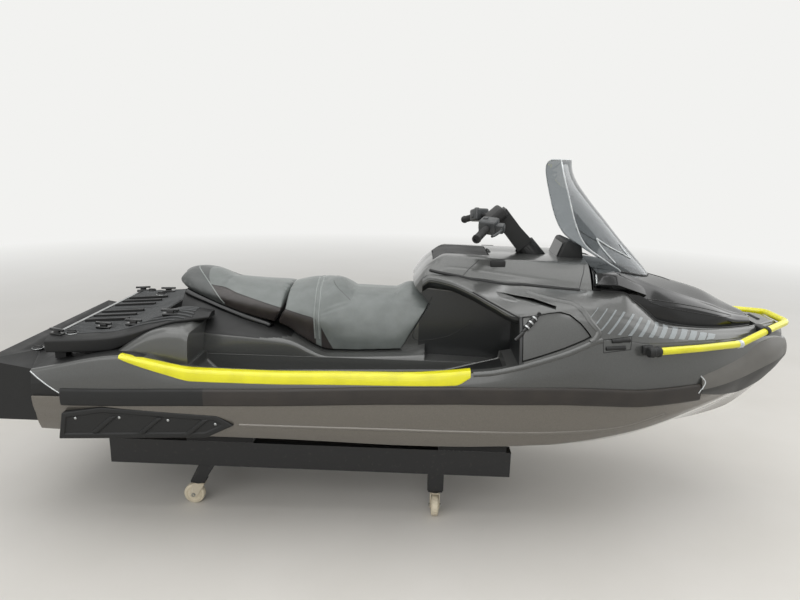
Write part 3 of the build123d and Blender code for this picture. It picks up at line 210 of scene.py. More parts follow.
# %% [markdown]
# ## Helpers for materials
# Every finish is one Principled shader. Colours are written as the eye sees them, in hex,
# and turned to the linear values that a shader needs. Patterns read Object coordinates, so
# their scale is a real size: a noise texture repeats about once per unit, so a grain of
# 2 mm needs a scale of 1 / 0.002.

# %% Colours and nodes
def linear(hex_colour):
    """A hex colour, as the eye sees it, as linear red, green, blue and alpha."""
    values = [int(hex_colour[i : i + 2], 16) / 255 for i in (1, 3, 5)]
    return [v / 12.92 if v <= 0.04045 else ((v + 0.055) / 1.055) ** 2.4 for v in values] + [1.0]


def add(tree, kind, settings, output=0):
    """Adds a node and gives one output. A setting is a property, an input's value or a link."""
    node = tree.nodes.new(f"ShaderNode{kind}")
    for key, value in settings.items():
        if isinstance(value, bpy.types.NodeSocket):
            tree.links.new(value, node.inputs[key])
        elif isinstance(key, str) and hasattr(node, key):
            setattr(node, key, value)
        else:
            node.inputs[key].default_value = value
    return node.outputs[output]


def new_material(name, colour, roughness, **sockets):
    """A material with its Principled shader set, and the tree to go on with."""
    material = bpy.data.materials.new(name)
    material.use_nodes = True
    tree = material.node_tree
    shader = tree.nodes["Principled BSDF"]
    shader.inputs["Base Color"].default_value = linear(colour)
    shader.inputs["Roughness"].default_value = roughness
    for key, value in sockets.items():
        shader.inputs[key.replace("_", " ")].default_value = value
    return material, tree, shader


# %% Patterns, masks and relief
def grain(tree, size, detail=2.0, rough=0.5):
    """Irregular noise, from 0 to 1, at places on the object, of a grain size in metres."""
    spot = add(tree, "TexCoord", {}, "Object")
    noise = {"Vector": spot, "Scale": 1 / size, "Detail": detail, "Roughness": rough}
    return add(tree, "TexNoise", noise)


# A Mix node holds its colours in inputs 6 and 7, and gives the mixed one as output 2.
COLOUR_A, COLOUR_B, COLOUR_OUT = 6, 7, 2


def shaded(tree, noise, low, high, dark, light, most=1.0):
    """A colour that goes from dark to light as a noise goes from low to high."""
    span = {"Value": noise, "From Min": low, "From Max": high, "To Max": most}
    mix = {"data_type": "RGBA", 0: add(tree, "MapRange", span)}
    return add(tree, "Mix", {**mix, COLOUR_A: linear(dark), COLOUR_B: linear(light)}, COLOUR_OUT)


def masked(tree, mask, colour, other):
    """One colour over another, where a mask is 1."""
    mix = {"data_type": "RGBA", 0: mask, COLOUR_A: colour, COLOUR_B: other}
    return add(tree, "Mix", mix, COLOUR_OUT)


def vary(tree, socket, noise, low, high, least, most):
    """Moves a shader's value from least to most as a noise goes from low to high."""
    span = {"Value": noise, "From Min": low, "From Max": high, "To Min": least, "To Max": most}
    tree.links.new(add(tree, "MapRange", span), socket)


def worn_edge(tree, radius):
    """1 along outer edges and 0 on flat faces, where use rubs a moulding bright."""
    soft = add(tree, "Bevel", {"samples": 4, "Radius": radius})
    true = add(tree, "NewGeometry", {}, "Normal")
    same = add(tree, "VectorMath", {"operation": "DOT_PRODUCT", 0: soft, 1: true}, "Value")
    return add(tree, "MapRange", {"Value": same, "From Min": 0.995, "From Max": 0.93})


def relief(tree, shader, height, depth, edge=0.0, coat=False):
    """Bump of a real depth, on edges that look rounded to a real radius."""
    bump = {"Height": height, "Distance": depth}
    if edge:
        bump["Normal"] = add(tree, "Bevel", {"samples": 4, "Radius": edge})
    if coat:
        tree.links.new(bump["Normal"], shader.inputs["Coat Normal"])
    tree.links.new(add(tree, "Bump", bump), shader.inputs["Normal"])


# %% [markdown]
# ## Gelcoat
# Hull and deck are gelcoat: pigmented resin sprayed into a polished mould. Its colour layer
# holds fine metal flake under a clear, very smooth top, which gives a soft metallic body
# with a sharp reflection over it. The flake is far finer than the picture shows, so it is
# drawn at 1.5 mm.

# %% Gelcoat finishes
FLAKE = 1.5 * MM
EDGE_SOFT = 2.5 * MM


def gelcoat(name, dark, light, roughness=0.34, metallic=0.45, coat=(1.0, 0.06)):
    """Metallic flake in a tinted layer under a clear top."""
    material, tree, shader = new_material(
        name, dark, roughness, Metallic=metallic, Coat_Weight=coat[0], Coat_Roughness=coat[1]
    )
    flake = shaded(tree, grain(tree, FLAKE, 1.0), 0.35, 0.75, dark, light)
    tree.links.new(flake, shader.inputs["Base Color"])
    relief(tree, shader, grain(tree, 160 * MM, 1.0), 0.5 * MM, EDGE_SOFT, coat=True)
    return material


# Hull: warm grey, with a soft glow from the flake and a sharp one from the clear top.
hull_grey = gelcoat("gelcoat metallic warm grey", "#5d5952", "#77726a")
# Deck: a cooler grey with less polish, so its reflections are softer.
deck_grey = gelcoat("gelcoat metallic deck grey", "#434443", "#565755", 0.38, 0.35, (0.8, 0.13))
# Painted shade: a satin black without metal, put on faces deep in the knee pockets and low
# on the console, where shade falls.
shade_black = gelcoat("gelcoat black as painted shade", "#101212", "#1b1d1e", 0.45, 0.0, (0.3, 0.2))
# Hood and mirrors: polished black, which shows the lamps as clear lines.
gloss_black = gelcoat("gelcoat black with fine flake", "#08090a", "#141516", 0.12, 0.0, (0.0, 0.05))
print(len(bpy.data.materials), "materials with the gelcoats")

# %% [markdown]
# ## Plastics and rubber
# The platform, rack, bumper and small fittings are injection moulded with a spark-eroded
# grain of about half a millimetre, drawn a little coarser. Their edges are rubbed slightly
# paler. The yellow strips and bow tube are pigmented plastic with a polished skin.

# %% Moulded plastics
EDGE_ROUND = 1.8 * MM


def moulded(name, colour, worn, roughness=0.55, size=1.1 * MM, depth=0.12 * MM):
    """Grained moulding with slightly rubbed edges."""
    material, tree, shader = new_material(name, colour, roughness, IOR=1.49)
    cloud = grain(tree, 90 * MM, 3.0)
    dusty = shaded(tree, cloud, 0.35, 0.7, colour, worn, most=0.35)
    rubbed = masked(tree, worn_edge(tree, EDGE_ROUND), dusty, linear(worn))
    tree.links.new(rubbed, shader.inputs["Base Color"])
    vary(tree, shader.inputs["Roughness"], cloud, 0.3, 0.7, roughness - 0.06, roughness + 0.08)
    relief(tree, shader, grain(tree, size, 2.0), depth, EDGE_ROUND)
    return material


# Rack, platform and fittings: dull black with paler edges.
black_moulding = moulded("moulded black ABS", "#070808", "#191a1a")
# Bumper: a finer grain, so a satin sheen follows its crease. A darker copy of it is painted
# shade on the faces that look down.
bumper_grey = moulded("satin grey bumper moulding", "#5b5955", "#72706b", 0.36, depth=0.05 * MM)
bumper_shade = moulded("satin bumper grey with painted shade", "#1d1d1d", "#333332", 0.42, depth=0.05 * MM)
# Switch housings and levers: tough nylon, a shade lighter than the ABS. On the rack's ribs
# the same grey is painted highlight.
nylon_grey_and_rib_highlight = moulded("satin dark grey nylon", "#323435", "#5a5c5d", 0.4, depth=0.04 * MM)
# Rub band: extruded, so it is smooth along its length, and a warm black.
rub_rubber = moulded("satin extruded rubber", "#26221f", "#3d3731", 0.48, depth=0.06 * MM)
# Grips: soft moulded rubber, the dullest finish here.
grip_rubber = moulded("moulded black rubber", "#121212", "#2a2a2a", 0.7)
# Castor wheels: cast nylon, cream and waxy, with the brown marks of rolling.
nylon = moulded("cream castor nylon", "#ddd3bd", "#b5a685", 0.42, 2 * MM, 0.06 * MM)
# Castor forks: pressed steel under baked enamel, glossier than the wheels.
cream_enamel = moulded("cream enamel on pressed steel", "#d3cab6", "#a3947a", 0.34, 3 * MM, 0.05 * MM)
# Strips and bow tube: pigmented plastic with a hard skin from a polished mould.
yellow, tree, shader = new_material(
    "polished acid yellow plastic", "#e4de06", 0.3, IOR=1.5, Coat_Weight=0.5, Coat_Roughness=0.06
)
yellow_cloud = shaded(tree, grain(tree, 70 * MM), 0.3, 0.7, "#dcd604", "#ebe50a")
tree.links.new(yellow_cloud, shader.inputs["Base Color"])
relief(tree, shader, grain(tree, 3 * MM), 0.03 * MM, 2.0 * MM, coat=True)
print(len(bpy.data.materials), "materials with the plastics")

# %% [markdown]
# ## Vinyl, acrylic and metals
# The seats are covered with marine vinyl, a soft plastic cloth embossed with a leather-like
# grain of 1 to 2 mm. The screen is thin smoked acrylic. The cradle is painted steel tube,
# its castors turn on zinc plated bolts, and the pump is cast aluminium.

# %% Seat vinyl
VINYL_GRAIN = 1.8 * MM
SIDE_SEAM = [(-968, 1068), (-881, 1046), (-791, 1026), (-704, 1006), (-616, 985), (-532, 963), (-459, 944)]
TAIL_SEAM = [(-966, 1066), (-894, 987)]
BAND_X = -452
WEDGE = [(-426, 900), (-371, 789)]


def under_line(tree, across, up, low, high):
    """1 below the straight line through two (x, z) points in mm, and 0 above it."""
    slope = (high[1] - low[1]) / (high[0] - low[0])
    start = (low[1] - slope * low[0]) * MM
    line = add(tree, "Math", {"operation": "MULTIPLY_ADD", 0: across, 1: slope, 2: start})
    return add(tree, "Math", {"operation": "LESS_THAN", 0: up, 1: line})


def panel_masks(tree, spot):
    """Masks of the dark side panels and of the tail, from the seams' places."""
    parts = add(tree, "SeparateXYZ", {"Vector": spot}).node.outputs
    across, up = parts["X"], parts["Z"]
    tail = under_line(tree, across, up, *TAIL_SEAM)
    side = under_line(tree, across, up, SIDE_SEAM[0], SIDE_SEAM[4])
    for part in (
        under_line(tree, across, up, SIDE_SEAM[4], SIDE_SEAM[6]),
        add(tree, "Math", {"operation": "LESS_THAN", 0: tail, 1: 0.5}),
        add(tree, "Math", {"operation": "LESS_THAN", 0: across, 1: BAND_X * MM}),
    ):
        side = add(tree, "Math", {"operation": "MULTIPLY", 0: side, 1: part})
    wedge = under_line(tree, across, up, *WEDGE)
    fore = add(tree, "Math", {"operation": "GREATER_THAN", 0: across, 1: WEDGE[0][0] * MM})
    wedge = add(tree, "Math", {"operation": "MULTIPLY", 0: wedge, 1: fore})
    return add(tree, "Math", {"operation": "MAXIMUM", 0: side, 1: wedge}), tail


def vinyl(name, dark, light, roughness, panels=False):
    """Embossed cloth: rounded cells with fine valleys, and darker panels low on the sides."""
    material, tree, shader = new_material(
        name, light, roughness, IOR=1.5, Sheen_Weight=0.06, Sheen_Roughness=0.4
    )
    spot = add(tree, "TexCoord", {}, "Object")
    cell = {"feature": "SMOOTH_F1", "Vector": spot, "Scale": 1 / VINYL_GRAIN, "Smoothness": 0.6}
    cells = add(tree, "TexVoronoi", cell, "Distance")
    cloud = grain(tree, 60 * MM, 4.0)
    colour = shaded(tree, cloud, 0.3, 0.7, dark, light)
    if panels:
        low, tail = panel_masks(tree, spot)
        colour = masked(tree, low, colour, shaded(tree, cloud, 0.3, 0.7, "#2a2624", "#35302e"))
        colour = masked(tree, tail, colour, shaded(tree, cloud, 0.3, 0.7, "#3b3e3d", "#484b4a"))
    tree.links.new(colour, shader.inputs["Base Color"])
    relief(tree, shader, cells, 0.22 * MM)
    return material


# Covers: matt grey vinyl, sewn from a lighter top and darker, browner side panels.
seat_grey = vinyl("marine vinyl grey", "#636866", "#707573", 0.36, panels=True)
# Piping: the same cloth over a cord, in a lighter grey.
piping = vinyl("vinyl piping grey", "#7c817f", "#8b908e", 0.36)
# Seams: a dark welt deep between two panels.
seam_thread = vinyl("dark seam welt", "#1f1e1d", "#2a2928", 0.5)
print(len(bpy.data.materials), "materials with the vinyls")

# %% Screen and metals
# Screen: cast acrylic with a smoke tint, clear but for faint smears from wiping.
screen, tree, shader = new_material(
    "smoked acrylic sheet", "#92979a", 0.02, IOR=1.49, Transmission_Weight=1.0,
    Specular_IOR_Level=0.2
)
vary(tree, shader.inputs["Roughness"], grain(tree, 45 * MM, 3.0), 0.4, 0.75, 0.0, 0.015)
# Screen rim and folds, and the aft corner's trim: near-white as painted highlight, the light
# on a polished edge. The bumper's joint line and the bow tube's clamp band share this pale colour.
pale_trim_and_highlight, tree, shader = new_material(
    "pale trim and painted highlight", "#c9cdcf", 0.22, IOR=1.49, Coat_Weight=0.6
)
edge_cloud = shaded(tree, grain(tree, 30 * MM), 0.3, 0.7, "#b9bec1", "#dadedf")
tree.links.new(edge_cloud, shader.inputs["Base Color"])
# Stripes: cut vinyl film, satin with a fine flake.
stripe_film, tree, shader = new_material(
    "satin grey vinyl film", "#7d8385", 0.35, Metallic=0.2, Coat_Weight=0.4, Coat_Roughness=0.1
)
film_flake = shaded(tree, grain(tree, FLAKE), 0.35, 0.75, "#7a8082", "#8d9294")
tree.links.new(film_flake, shader.inputs["Base Color"])
# Display glass: black acrylic, flat and plain.
glass_black = new_material("black acrylic", "#08090a", 0.2, IOR=1.49)[0]
METAL_EDGE = 1.2 * MM


def metal(name, colour, worn, roughness, size, depth):
    """A metal surface with its casting, brushing or plating."""
    material, tree, shader = new_material(name, colour, roughness, Metallic=1.0)
    cloud = grain(tree, 40 * MM, 4.0)
    patches = shaded(tree, cloud, 0.35, 0.7, colour, worn)
    tree.links.new(patches, shader.inputs["Base Color"])
    vary(tree, shader.inputs["Roughness"], cloud, 0.3, 0.7, roughness - 0.06, roughness + 0.12)
    relief(tree, shader, grain(tree, size, 3.0), depth, METAL_EDGE)
    return material


# Axle nuts: a plated bloom, duller than polished steel.
zinc = metal("zinc plated steel", "#a8a9a6", "#8c8d8a", 0.32, 1.5 * MM, 0.05 * MM)
# Bolts, rings and rack strip: a fine brushed grain that softens each highlight.
stainless = metal("brushed stainless steel", "#b4b6b6", "#9b9d9d", 0.26, 0.8 * MM, 0.03 * MM)
# Pump: the grain of the sand it was cast in, dull and a little patchy.
aluminium = metal("cast aluminium", "#8f9294", "#75797c", 0.42, 1.6 * MM, 0.2 * MM)
# Mirror glass: silver behind polished glass, almost a perfect mirror.
mirror_silver = metal("silvered mirror glass", "#dfe2e2", "#d4d8d8", 0.08, 30 * MM, 0.01 * MM)
# Cradle: rolled steel under black paint, with duller, browner scuffs.
steel_paint, tree, shader = new_material("black paint on rolled steel", "#16171a", 0.38, IOR=1.5)
scuff = grain(tree, 22 * MM, 6.0, 0.7)
tree.links.new(shaded(tree, scuff, 0.58, 0.7, "#17181a", "#34322f"), shader.inputs["Base Color"])
vary(tree, shader.inputs["Roughness"], scuff, 0.58, 0.7, 0.34, 0.6)
relief(tree, shader, grain(tree, 6 * MM, 3.0), 0.12 * MM, 3 * MM)
# Bunks: needled fibre, black and very dull, with a fuzz that takes light at a low angle.
carpet, tree, shader = new_material("needled marine carpet", "#1a1a1b", 0.95, Sheen_Weight=0.4)
relief(tree, shader, grain(tree, 2.2 * MM, 6.0, 0.7), 1.2 * MM, 4 * MM)
print(len(bpy.data.materials), "materials")

# %% [markdown]
# ## Smooth skins
# A boat's shape is drawn as stations: cross sections at set places along its length. Here
# each form is a short table of stations, with smooth values in between. A section is a path
# of corners, each with its own rounding, and the run after a corner may bulge a little, as
# a moulding does. A grid primitive is added, and its rows are moved onto the sections.

# %% Tables and sections
def faired(rows):
    """A function that gives the values of a table at any x, in metres, on smooth curves."""
    places = [row[0] for row in rows]
    slopes = []
    for column in zip(*rows):
        steps = [
            (column[i + 1] - column[i]) / (places[i + 1] - places[i]) for i in range(len(rows) - 1)
        ]
        inner = [0.0 if a * b <= 0 else 2 * a * b / (a + b) for a, b in zip(steps, steps[1:])]
        slopes.append([steps[0], *inner, steps[-1]])

    def values(x):
        x = x / MM
        i = max(0, min(len(rows) - 2, sum(place <= x for place in places) - 1))
        run = places[i + 1] - places[i]
        t = (x - places[i]) / run
        out = []
        for column, slope in zip(zip(*rows), slopes):
            out.append(
                (2 * t**3 - 3 * t**2 + 1) * column[i]
                + (t**3 - 2 * t**2 + t) * run * slope[i]
                + (3 * t**2 - 2 * t**3) * column[i + 1]
                + (t**3 - t**2) * run * slope[i + 1]
            )
        return [value * MM for value in out[1:]]

    return values


def softened(corners, closed=False, steps=4, runs=4):
    """Points on a path of corners: y, z in metres, then rounding and bulge after it in mm."""
    points = [Vector(corner[:2]) for corner in corners]
    count = len(points)
    path = []
    for i, (point, corner) in enumerate(zip(points, corners)):
        before, after = points[i - 1], points[(i + 1) % count]
        ends = not closed and i in (0, count - 1)
        reach = 0 if ends else corner[2] * MM
        start_cut = min(reach, 0.45 * (before - point).length)
        end_cut = min(reach, 0.45 * (after - point).length)
        start = point + (before - point).normalized() * start_cut if start_cut else point
        end = point + (after - point).normalized() * end_cut if end_cut else point
        for k in range(steps + 1) if not ends else (0,):
            t = k / steps
            path.append((1 - t) ** 2 * start + 2 * t * (1 - t) * point + t**2 * end)
        if not closed and i == count - 1:
            break
        following = corners[(i + 1) % count]
        reach = 0 if not closed and i + 1 == count - 1 else following[2] * MM
        cut = min(reach, 0.45 * (after - point).length)
        stop = after + (point - after).normalized() * cut if cut else after
        across = Vector(((stop - end).y, -(stop - end).x))
        across = across.normalized() if across.length > 1e-9 else across
        for k in range(1, runs):
            t = k / runs
            path.append(end.lerp(stop, t) + across * (corner[3] * MM) * 4 * t * (1 - t))
    return [(p.x, p.y) for p in path]


# %% Sections and skins
def both_halves(half):
    """A closed ring from its port half, which runs from the bottom to the top."""
    return half + [(-y, z) for y, z in reversed(half) if y > 1e-6]


def section(*corners, steps=4, runs=4):
    """A closed section from the softened corners of its port half, bottom to top."""
    return both_halves(softened(corners, steps=steps, runs=runs))


def new_piece(name, primitive, **settings):
    """A piece from one of Blender's primitive operators, with nothing else selected."""
    bpy.ops.object.select_all(action="DESELECT")
    primitive(**settings)
    obj = bpy.context.object
    obj.name = name
    return obj


def loft(name, places, ring):
    """A closed skin whose section at each x is ring(x), a list of (y, z) points."""
    rings = [[(x, y, z) for y, z in ring(x)] for x in places]
    around = len(rings[0])
    assert all(len(points) == around for points in rings), name
    obj = new_piece(
        name, bpy.ops.mesh.primitive_grid_add, x_subdivisions=around, y_subdivisions=len(places) - 1
    )
    flat = [value for points in rings for point in points + points[:1] for value in point]
    obj.data.vertices.foreach_set("co", flat)
    obj.data.update()

    def close():
        bpy.ops.mesh.remove_doubles(threshold=SAME_PLACE / 2)
        bpy.ops.mesh.select_all(action="SELECT")
        bpy.ops.mesh.fill_holes(sides=0)
        bpy.ops.mesh.select_all(action="SELECT")
        bpy.ops.mesh.normals_make_consistent(inside=False)

    edit(obj, close)
    return obj


def evenly(low, high, step=0.02):
    """Places from low to high, about a step apart, in metres."""
    count = max(2, round((high - low) / step))
    return [low + (high - low) * i / count for i in range(count + 1)]


# %% Tools that cut
def box(x, y, z, name="block", round_off=0.0, segments=3):
    """A block from three (low, high) pairs in metres, with rounded edges if asked."""
    obj = new_piece(name, bpy.ops.mesh.primitive_cube_add, size=1)
    obj.scale = [high - low for low, high in (x, y, z)]
    put(obj, [(low + high) / 2 for low, high in (x, y, z)])
    if round_off:
        rounded(obj, round_off, segments)
    return obj


def prism(points, low, high, round_off=0.0, name="prism"):
    """An outline of (x, z) points in metres, drawn out from y low to y high."""
    obj = new_piece(
        name, bpy.ops.mesh.primitive_circle_add, vertices=len(points), fill_type="NGON"
    )
    for vertex, (x, z) in zip(obj.data.vertices, points):
        vertex.co = (x, low, z)

    def pull():
        bpy.ops.mesh.extrude_region_move(TRANSFORM_OT_translate={"value": (0, high - low, 0)})
        bpy.ops.mesh.select_all(action="SELECT")
        bpy.ops.mesh.normals_make_consistent(inside=False)

    edit(obj, pull)
    if round_off:
        rounded(obj, round_off, 4)
    return obj


def prism_pair(points, low, high, round_off=0.0):
    """The same prism on the port and on the starboard side."""
    return prism(points, low, high, round_off), prism(points, -high, -low, round_off)


def carve(obj, *tools, operation="DIFFERENCE"):
    """Cuts tools out of a piece, or joins them to it, and deletes them."""
    for tool in tools:
        modify(obj, "BOOLEAN", operation=operation, solver="EXACT", object=tool)
        bpy.data.objects.remove(tool, do_unlink=True)
    return obj


def outward(obj):
    """Turns every face of a closed piece outwards."""
    edit(obj, lambda: bpy.ops.mesh.normals_make_consistent(inside=False))
    return obj


def mirrored(obj):
    """Adds the starboard image of a port piece to it."""
    modify(obj, "MIRROR", use_axis=(False, True, False), use_mirror_merge=False)
    return outward(obj)


def metres(points):
    """Points in millimetres as points in metres."""
    return [tuple(value * MM for value in point) for point in points]


# %% Lines and beads laid on a surface
def copied(obj, name, shift=(0, 0, 0)):
    """A copy of a piece with its own mesh, moved by a shift."""
    twin = bpy.data.objects.new(name, obj.data.copy())
    bpy.context.collection.objects.link(twin)
    put(twin, shift)
    return twin


def nearest_hit(targets, start, way):
    """Where a ray first meets one of the pieces, with the normal there."""
    hits = [target.ray_cast(start, way) for target in targets]
    hits = [(spot, normal) for found, spot, normal, _ in hits if found]
    return min(hits, key=lambda hit: (hit[0] - start).length) if hits else None


SIDE_START = 1.2
DOWN = Vector((0, 0, -1))


def side_hit(targets, x, z):
    """What is first seen from port at x and z in mm: the place and the normal there."""
    return nearest_hit(targets, Vector((x * MM, SIDE_START, z * MM)), Vector((0, -1, 0)))


def through(points, count):
    """Evenly spread points on a smooth curve through a few points."""
    points = [Vector(point) for point in points]
    ends = [2 * points[0] - points[1], *points, 2 * points[-1] - points[-2]]
    out = []
    for k in range(count + 1):
        place_on = k / count * (len(points) - 1)
        i = min(int(place_on), len(points) - 2)
        t = place_on - i
        a, b, c, d = ends[i : i + 4]
        out.append(
            0.5
            * (2 * b + (c - a) * t + (2 * a - 5 * b + 4 * c - d) * t**2 + (3 * b - a - 3 * c + d) * t**3)
        )
    return out


def laid(targets, points, sunk=0.0, count=60):
    """A smooth line of (x, z) points in mm, seen from port and laid on the pieces."""
    line = []
    for x, z in through(points, count):
        hit = side_hit(targets, x, z)
        if hit:
            line.append(hit[0] - hit[1] * sunk)
    return line


GIRDLE_CENTRE = 0.93


def girdle(targets, x_top, x_low, reach, sunk, count=72, power=1.0):
    """A line over a seat from one flank to the other; x moves from the top to the flanks."""
    line = []
    for k in range(count + 1):
        turn = reach * (2 * k / count - 1)
        x = x_top + (x_low - x_top) * abs(turn / reach) ** power
        out = Vector((0, math.sin(turn), math.cos(turn)))
        hit = nearest_hit(targets, Vector((x * MM, 0, GIRDLE_CENTRE)) + out * 0.6, -out)
        if hit:
            line.append(hit[0] - hit[1] * sunk)
    return line


# %% Beads and set-in panels
def bead(name, line, radius, mirror=True, sides=3):
    """A round bead along a line, as a mesh, with its mirror image if asked."""
    curve = bpy.data.curves.new(name, "CURVE")
    curve.dimensions = "3D"
    curve.bevel_depth = radius
    curve.bevel_resolution = sides
    curve.use_fill_caps = True
    spline = curve.splines.new("POLY")
    spline.points.add(len(line) - 1)
    for point, spot in zip(spline.points, line):
        point.co = (*spot, 1)
    obj = bpy.data.objects.new(name, curve)
    bpy.context.collection.objects.link(obj)
    select_only(obj)
    bpy.ops.object.convert(target="MESH")
    obj = bpy.context.object
    if mirror:
        mirrored(obj)
    else:
        outward(obj)
    smooth(obj, 50)
    return obj


def joined(name, pieces):
    """Several meshes as one piece."""
    select_only(pieces[0])
    for piece in pieces[1:]:
        piece.select_set(True)
    bpy.ops.object.join()
    pieces[0].name = name
    return pieces[0]


def inset(points, distance):
    """An outline moved inwards by a distance."""
    area = sum(a[0] * b[1] - b[0] * a[1] for a, b in zip(points, points[1:] + points[:1]))
    side = 1 if area > 0 else -1
    out = []
    for i, point in enumerate(points):
        point = Vector(point)
        before = (point - Vector(points[i - 1])).normalized()
        after = (Vector(points[(i + 1) % len(points)]) - point).normalized()
        normal = Vector((-(before + after).y, (before + after).x)).normalized() * side
        lean = max(0.35, abs(normal.dot(Vector((-after.y, after.x)))))
        out.append(tuple(point + normal * distance / lean))
    return out


def parted(obj, name, outline, low, high, depth, gap):
    """Cuts a panel from both sides of a piece, with a gap round it, and sets it back."""
    outline = metres(outline)
    panel = copied(obj, name, (0, -depth, 0))
    carve(panel, prism(inset(outline, gap), low, high), operation="INTERSECT")
    carve(obj, *prism_pair(outline, low, high))
    return mirrored(panel)


# %% [markdown]
# ## Hull and deck
# The hull is a deep V with a strake, a chine and a knuckle along its side. The deck sits on
# it and slopes in to the gunwale. One table draws both, so they meet along the sheer, under
# the rub band.

# %% Stations of the hull
STATIONS = faired(
    [
        # x, half beam, keel, strake y z, chine y z, knuckle z, sheer, gunwale y z
        (-1640, 588, 285, 250, 366, 530, 468, 552, 640, 562, 757),
        (-1200, 620, 280, 250, 358, 558, 472, 556, 664, 592, 842),
        (-1000, 624, 279, 250, 355, 562, 474, 558, 674, 598, 795),
        (-600, 627.5, 277, 250, 350, 565, 476, 560, 690, 600, 786),
        (0, 627.5, 275, 250, 338, 565, 468, 562, 720, 600, 800),
        (250, 619, 273, 250, 335, 558, 469, 565, 726, 592, 818),
        (330, 615, 273, 250, 335, 553, 471, 566, 726, 591, 826),
        (450, 607, 274, 250, 334, 546, 474, 568, 727, 584, 852),
        (530, 598.5, 275, 248, 335.5, 538, 477, 570, 726.5, 573, 874),
        (640, 585, 277, 245, 338, 526, 482, 573, 725, 555, 906),
        (720, 573.5, 282, 241, 343, 513.5, 489, 577, 721, 538, 936),
        (780, 563, 286.5, 237, 348, 503, 495, 580, 717, 518, 958),
        (820, 556, 290, 235, 352, 496, 500, 582, 714, 505, 962),
        (1030, 507, 315, 215, 388, 450, 534, 604, 700, 452, 934),
        (1330, 393, 380, 165, 480, 340, 605, 646, 700, 345, 925),
        (1600, 240, 470, 100, 580, 205, 672, 700, 752, 192, 905),
        (1750, 148, 600, 60, 670, 120, 735, 755, 790, 100, 890),
        (1845, 50, 725, 18, 750, 36, 775, 785, 802, 26, 862),
    ]
)
RUB_PROUD = 12 * MM
KNUCKLE_SHARE = 0.6
HULL_X = (-1.640, 1.845)
hull_places = evenly(*HULL_X, 0.025)


def hull_ring(x):
    """The hull's section: keel, strake, chine, knuckle and sheer."""
    half, keel, strake_y, strake_z, chine_y, chine_z, knuckle_z, sheer, _, _ = STATIONS(x)
    side = half - RUB_PROUD
    knuckle_y = chine_y + KNUCKLE_SHARE * (side - chine_y)
    return section(
        (0, keel, 0, 0),
        (strake_y, strake_z, 6, 3),
        (chine_y, chine_z, 7, 4),
        (knuckle_y, knuckle_z, 5, 5),
        (side, sheer, 3, 0),
        (0, sheer, 0, 0),
    )


def deck_ring(x):
    """The deck's section: its side, a rounded gunwale and its top."""
    half, *_, sheer, edge_y, edge_z = STATIONS(x)
    return section(
        (0, sheer, 0, 0),
        (half - RUB_PROUD, sheer, 3, 7),
        (edge_y, edge_z, 14, 0),
        (0, edge_z, 0, 0),
    )


# %% Hull and deck shells
# Spaces cut out, as (low, high) pairs in metres; ABOVE is over the top of every moulding.
ABOVE = 1.4
PUMP_TUNNEL = ((-1.70, -1.150), (-0.135, 0.135), (0.0, 0.505))
BIN_HOLE = ((1.020, 1.420), (-0.17, 0.17))
SEAT_WELL = ((-1.0, 0.70), (-0.336, 0.336), (0.78, ABOVE))
HOOD_WELL_X = (0.795, 1.64)
HOOD_WELL_Z = (0.915, ABOVE)
FOOT_OUTLINE = [
    (-0.950, 0.750), (-0.890, 0.690), (0.150, 0.730), (0.400, 0.800), (0.460, 1.400), (-0.950, 1.400)
]
FOOT_Y = (0.335, 0.540)
hull = loft("hull_shell", hull_places, hull_ring)
carve(hull, box(*PUMP_TUNNEL), box(*BIN_HOLE, (0.64, ABOVE)))
finish(hull, hull_grey, ["hull"], crease=28)
deck = loft("deck_shell", hull_places, deck_ring)
carve(deck, *prism_pair(FOOT_OUTLINE, *FOOT_Y, 14 * MM), box(*SEAT_WELL))
carve(deck, box(HOOD_WELL_X, (-0.33, 0.33), HOOD_WELL_Z), box(*BIN_HOLE, (0.5, ABOVE)))
print("hull", len(hull.data.polygons), "faces, deck", len(deck.data.polygons))

# %% Slanted aft corner
AFT_CUT = [(-1.70, 0.745), (-1.645, 0.745), (-1.500, 0.655), (-1.500, 0.60), (-1.70, 0.60)]
CUT_EDGE = [(-1640, 749), (-1592, 718), (-1560, 697), (-1500, 659)]
CORNER_TUCK = 0.985
corner = copied(deck, "aft_corner")
carve(deck, *prism_pair(AFT_CUT, 0.42, 0.70))
carve(corner, prism(AFT_CUT, -0.70, 0.70), operation="INTERSECT")
for vertex in corner.data.vertices:
    vertex.co.y *= CORNER_TUCK
finish(corner, black_moulding)
# Painted highlight: a near-white bead along the cut edge.
cut_highlight = bead("aft_corner_highlight", laid([deck], CUT_EDGE, 1 * MM), 3 * MM)
finish(cut_highlight, pale_trim_and_highlight)
finish(deck, deck_grey, ["deck"], crease=28)


def under_rack_shadow(face):
    """The deck's top under the cargo rack, black as painted shadow, and its stern end."""
    on_top = face.normal.z > 0.9 and face.center.x < -1.14 and abs(face.center.y) < 0.53
    return on_top or face.center.x < -1.639


# Painted shadow: the deck's top under the rack is black; its stern end is black too.
paint(deck, black_moulding, under_rack_shadow)
print("aft corner", len(corner.data.polygons), "faces, trim", len(cut_highlight.data.polygons))

# %% [markdown]
# ## Shoulders, console and hood
# In front of the seat the deck rises into the console, which carries the handlebar and the
# glovebox. Either side of it the shoulders run forward to the nose, with a soft bulge below
# a sharp crest, and the glossy hood lies between them.

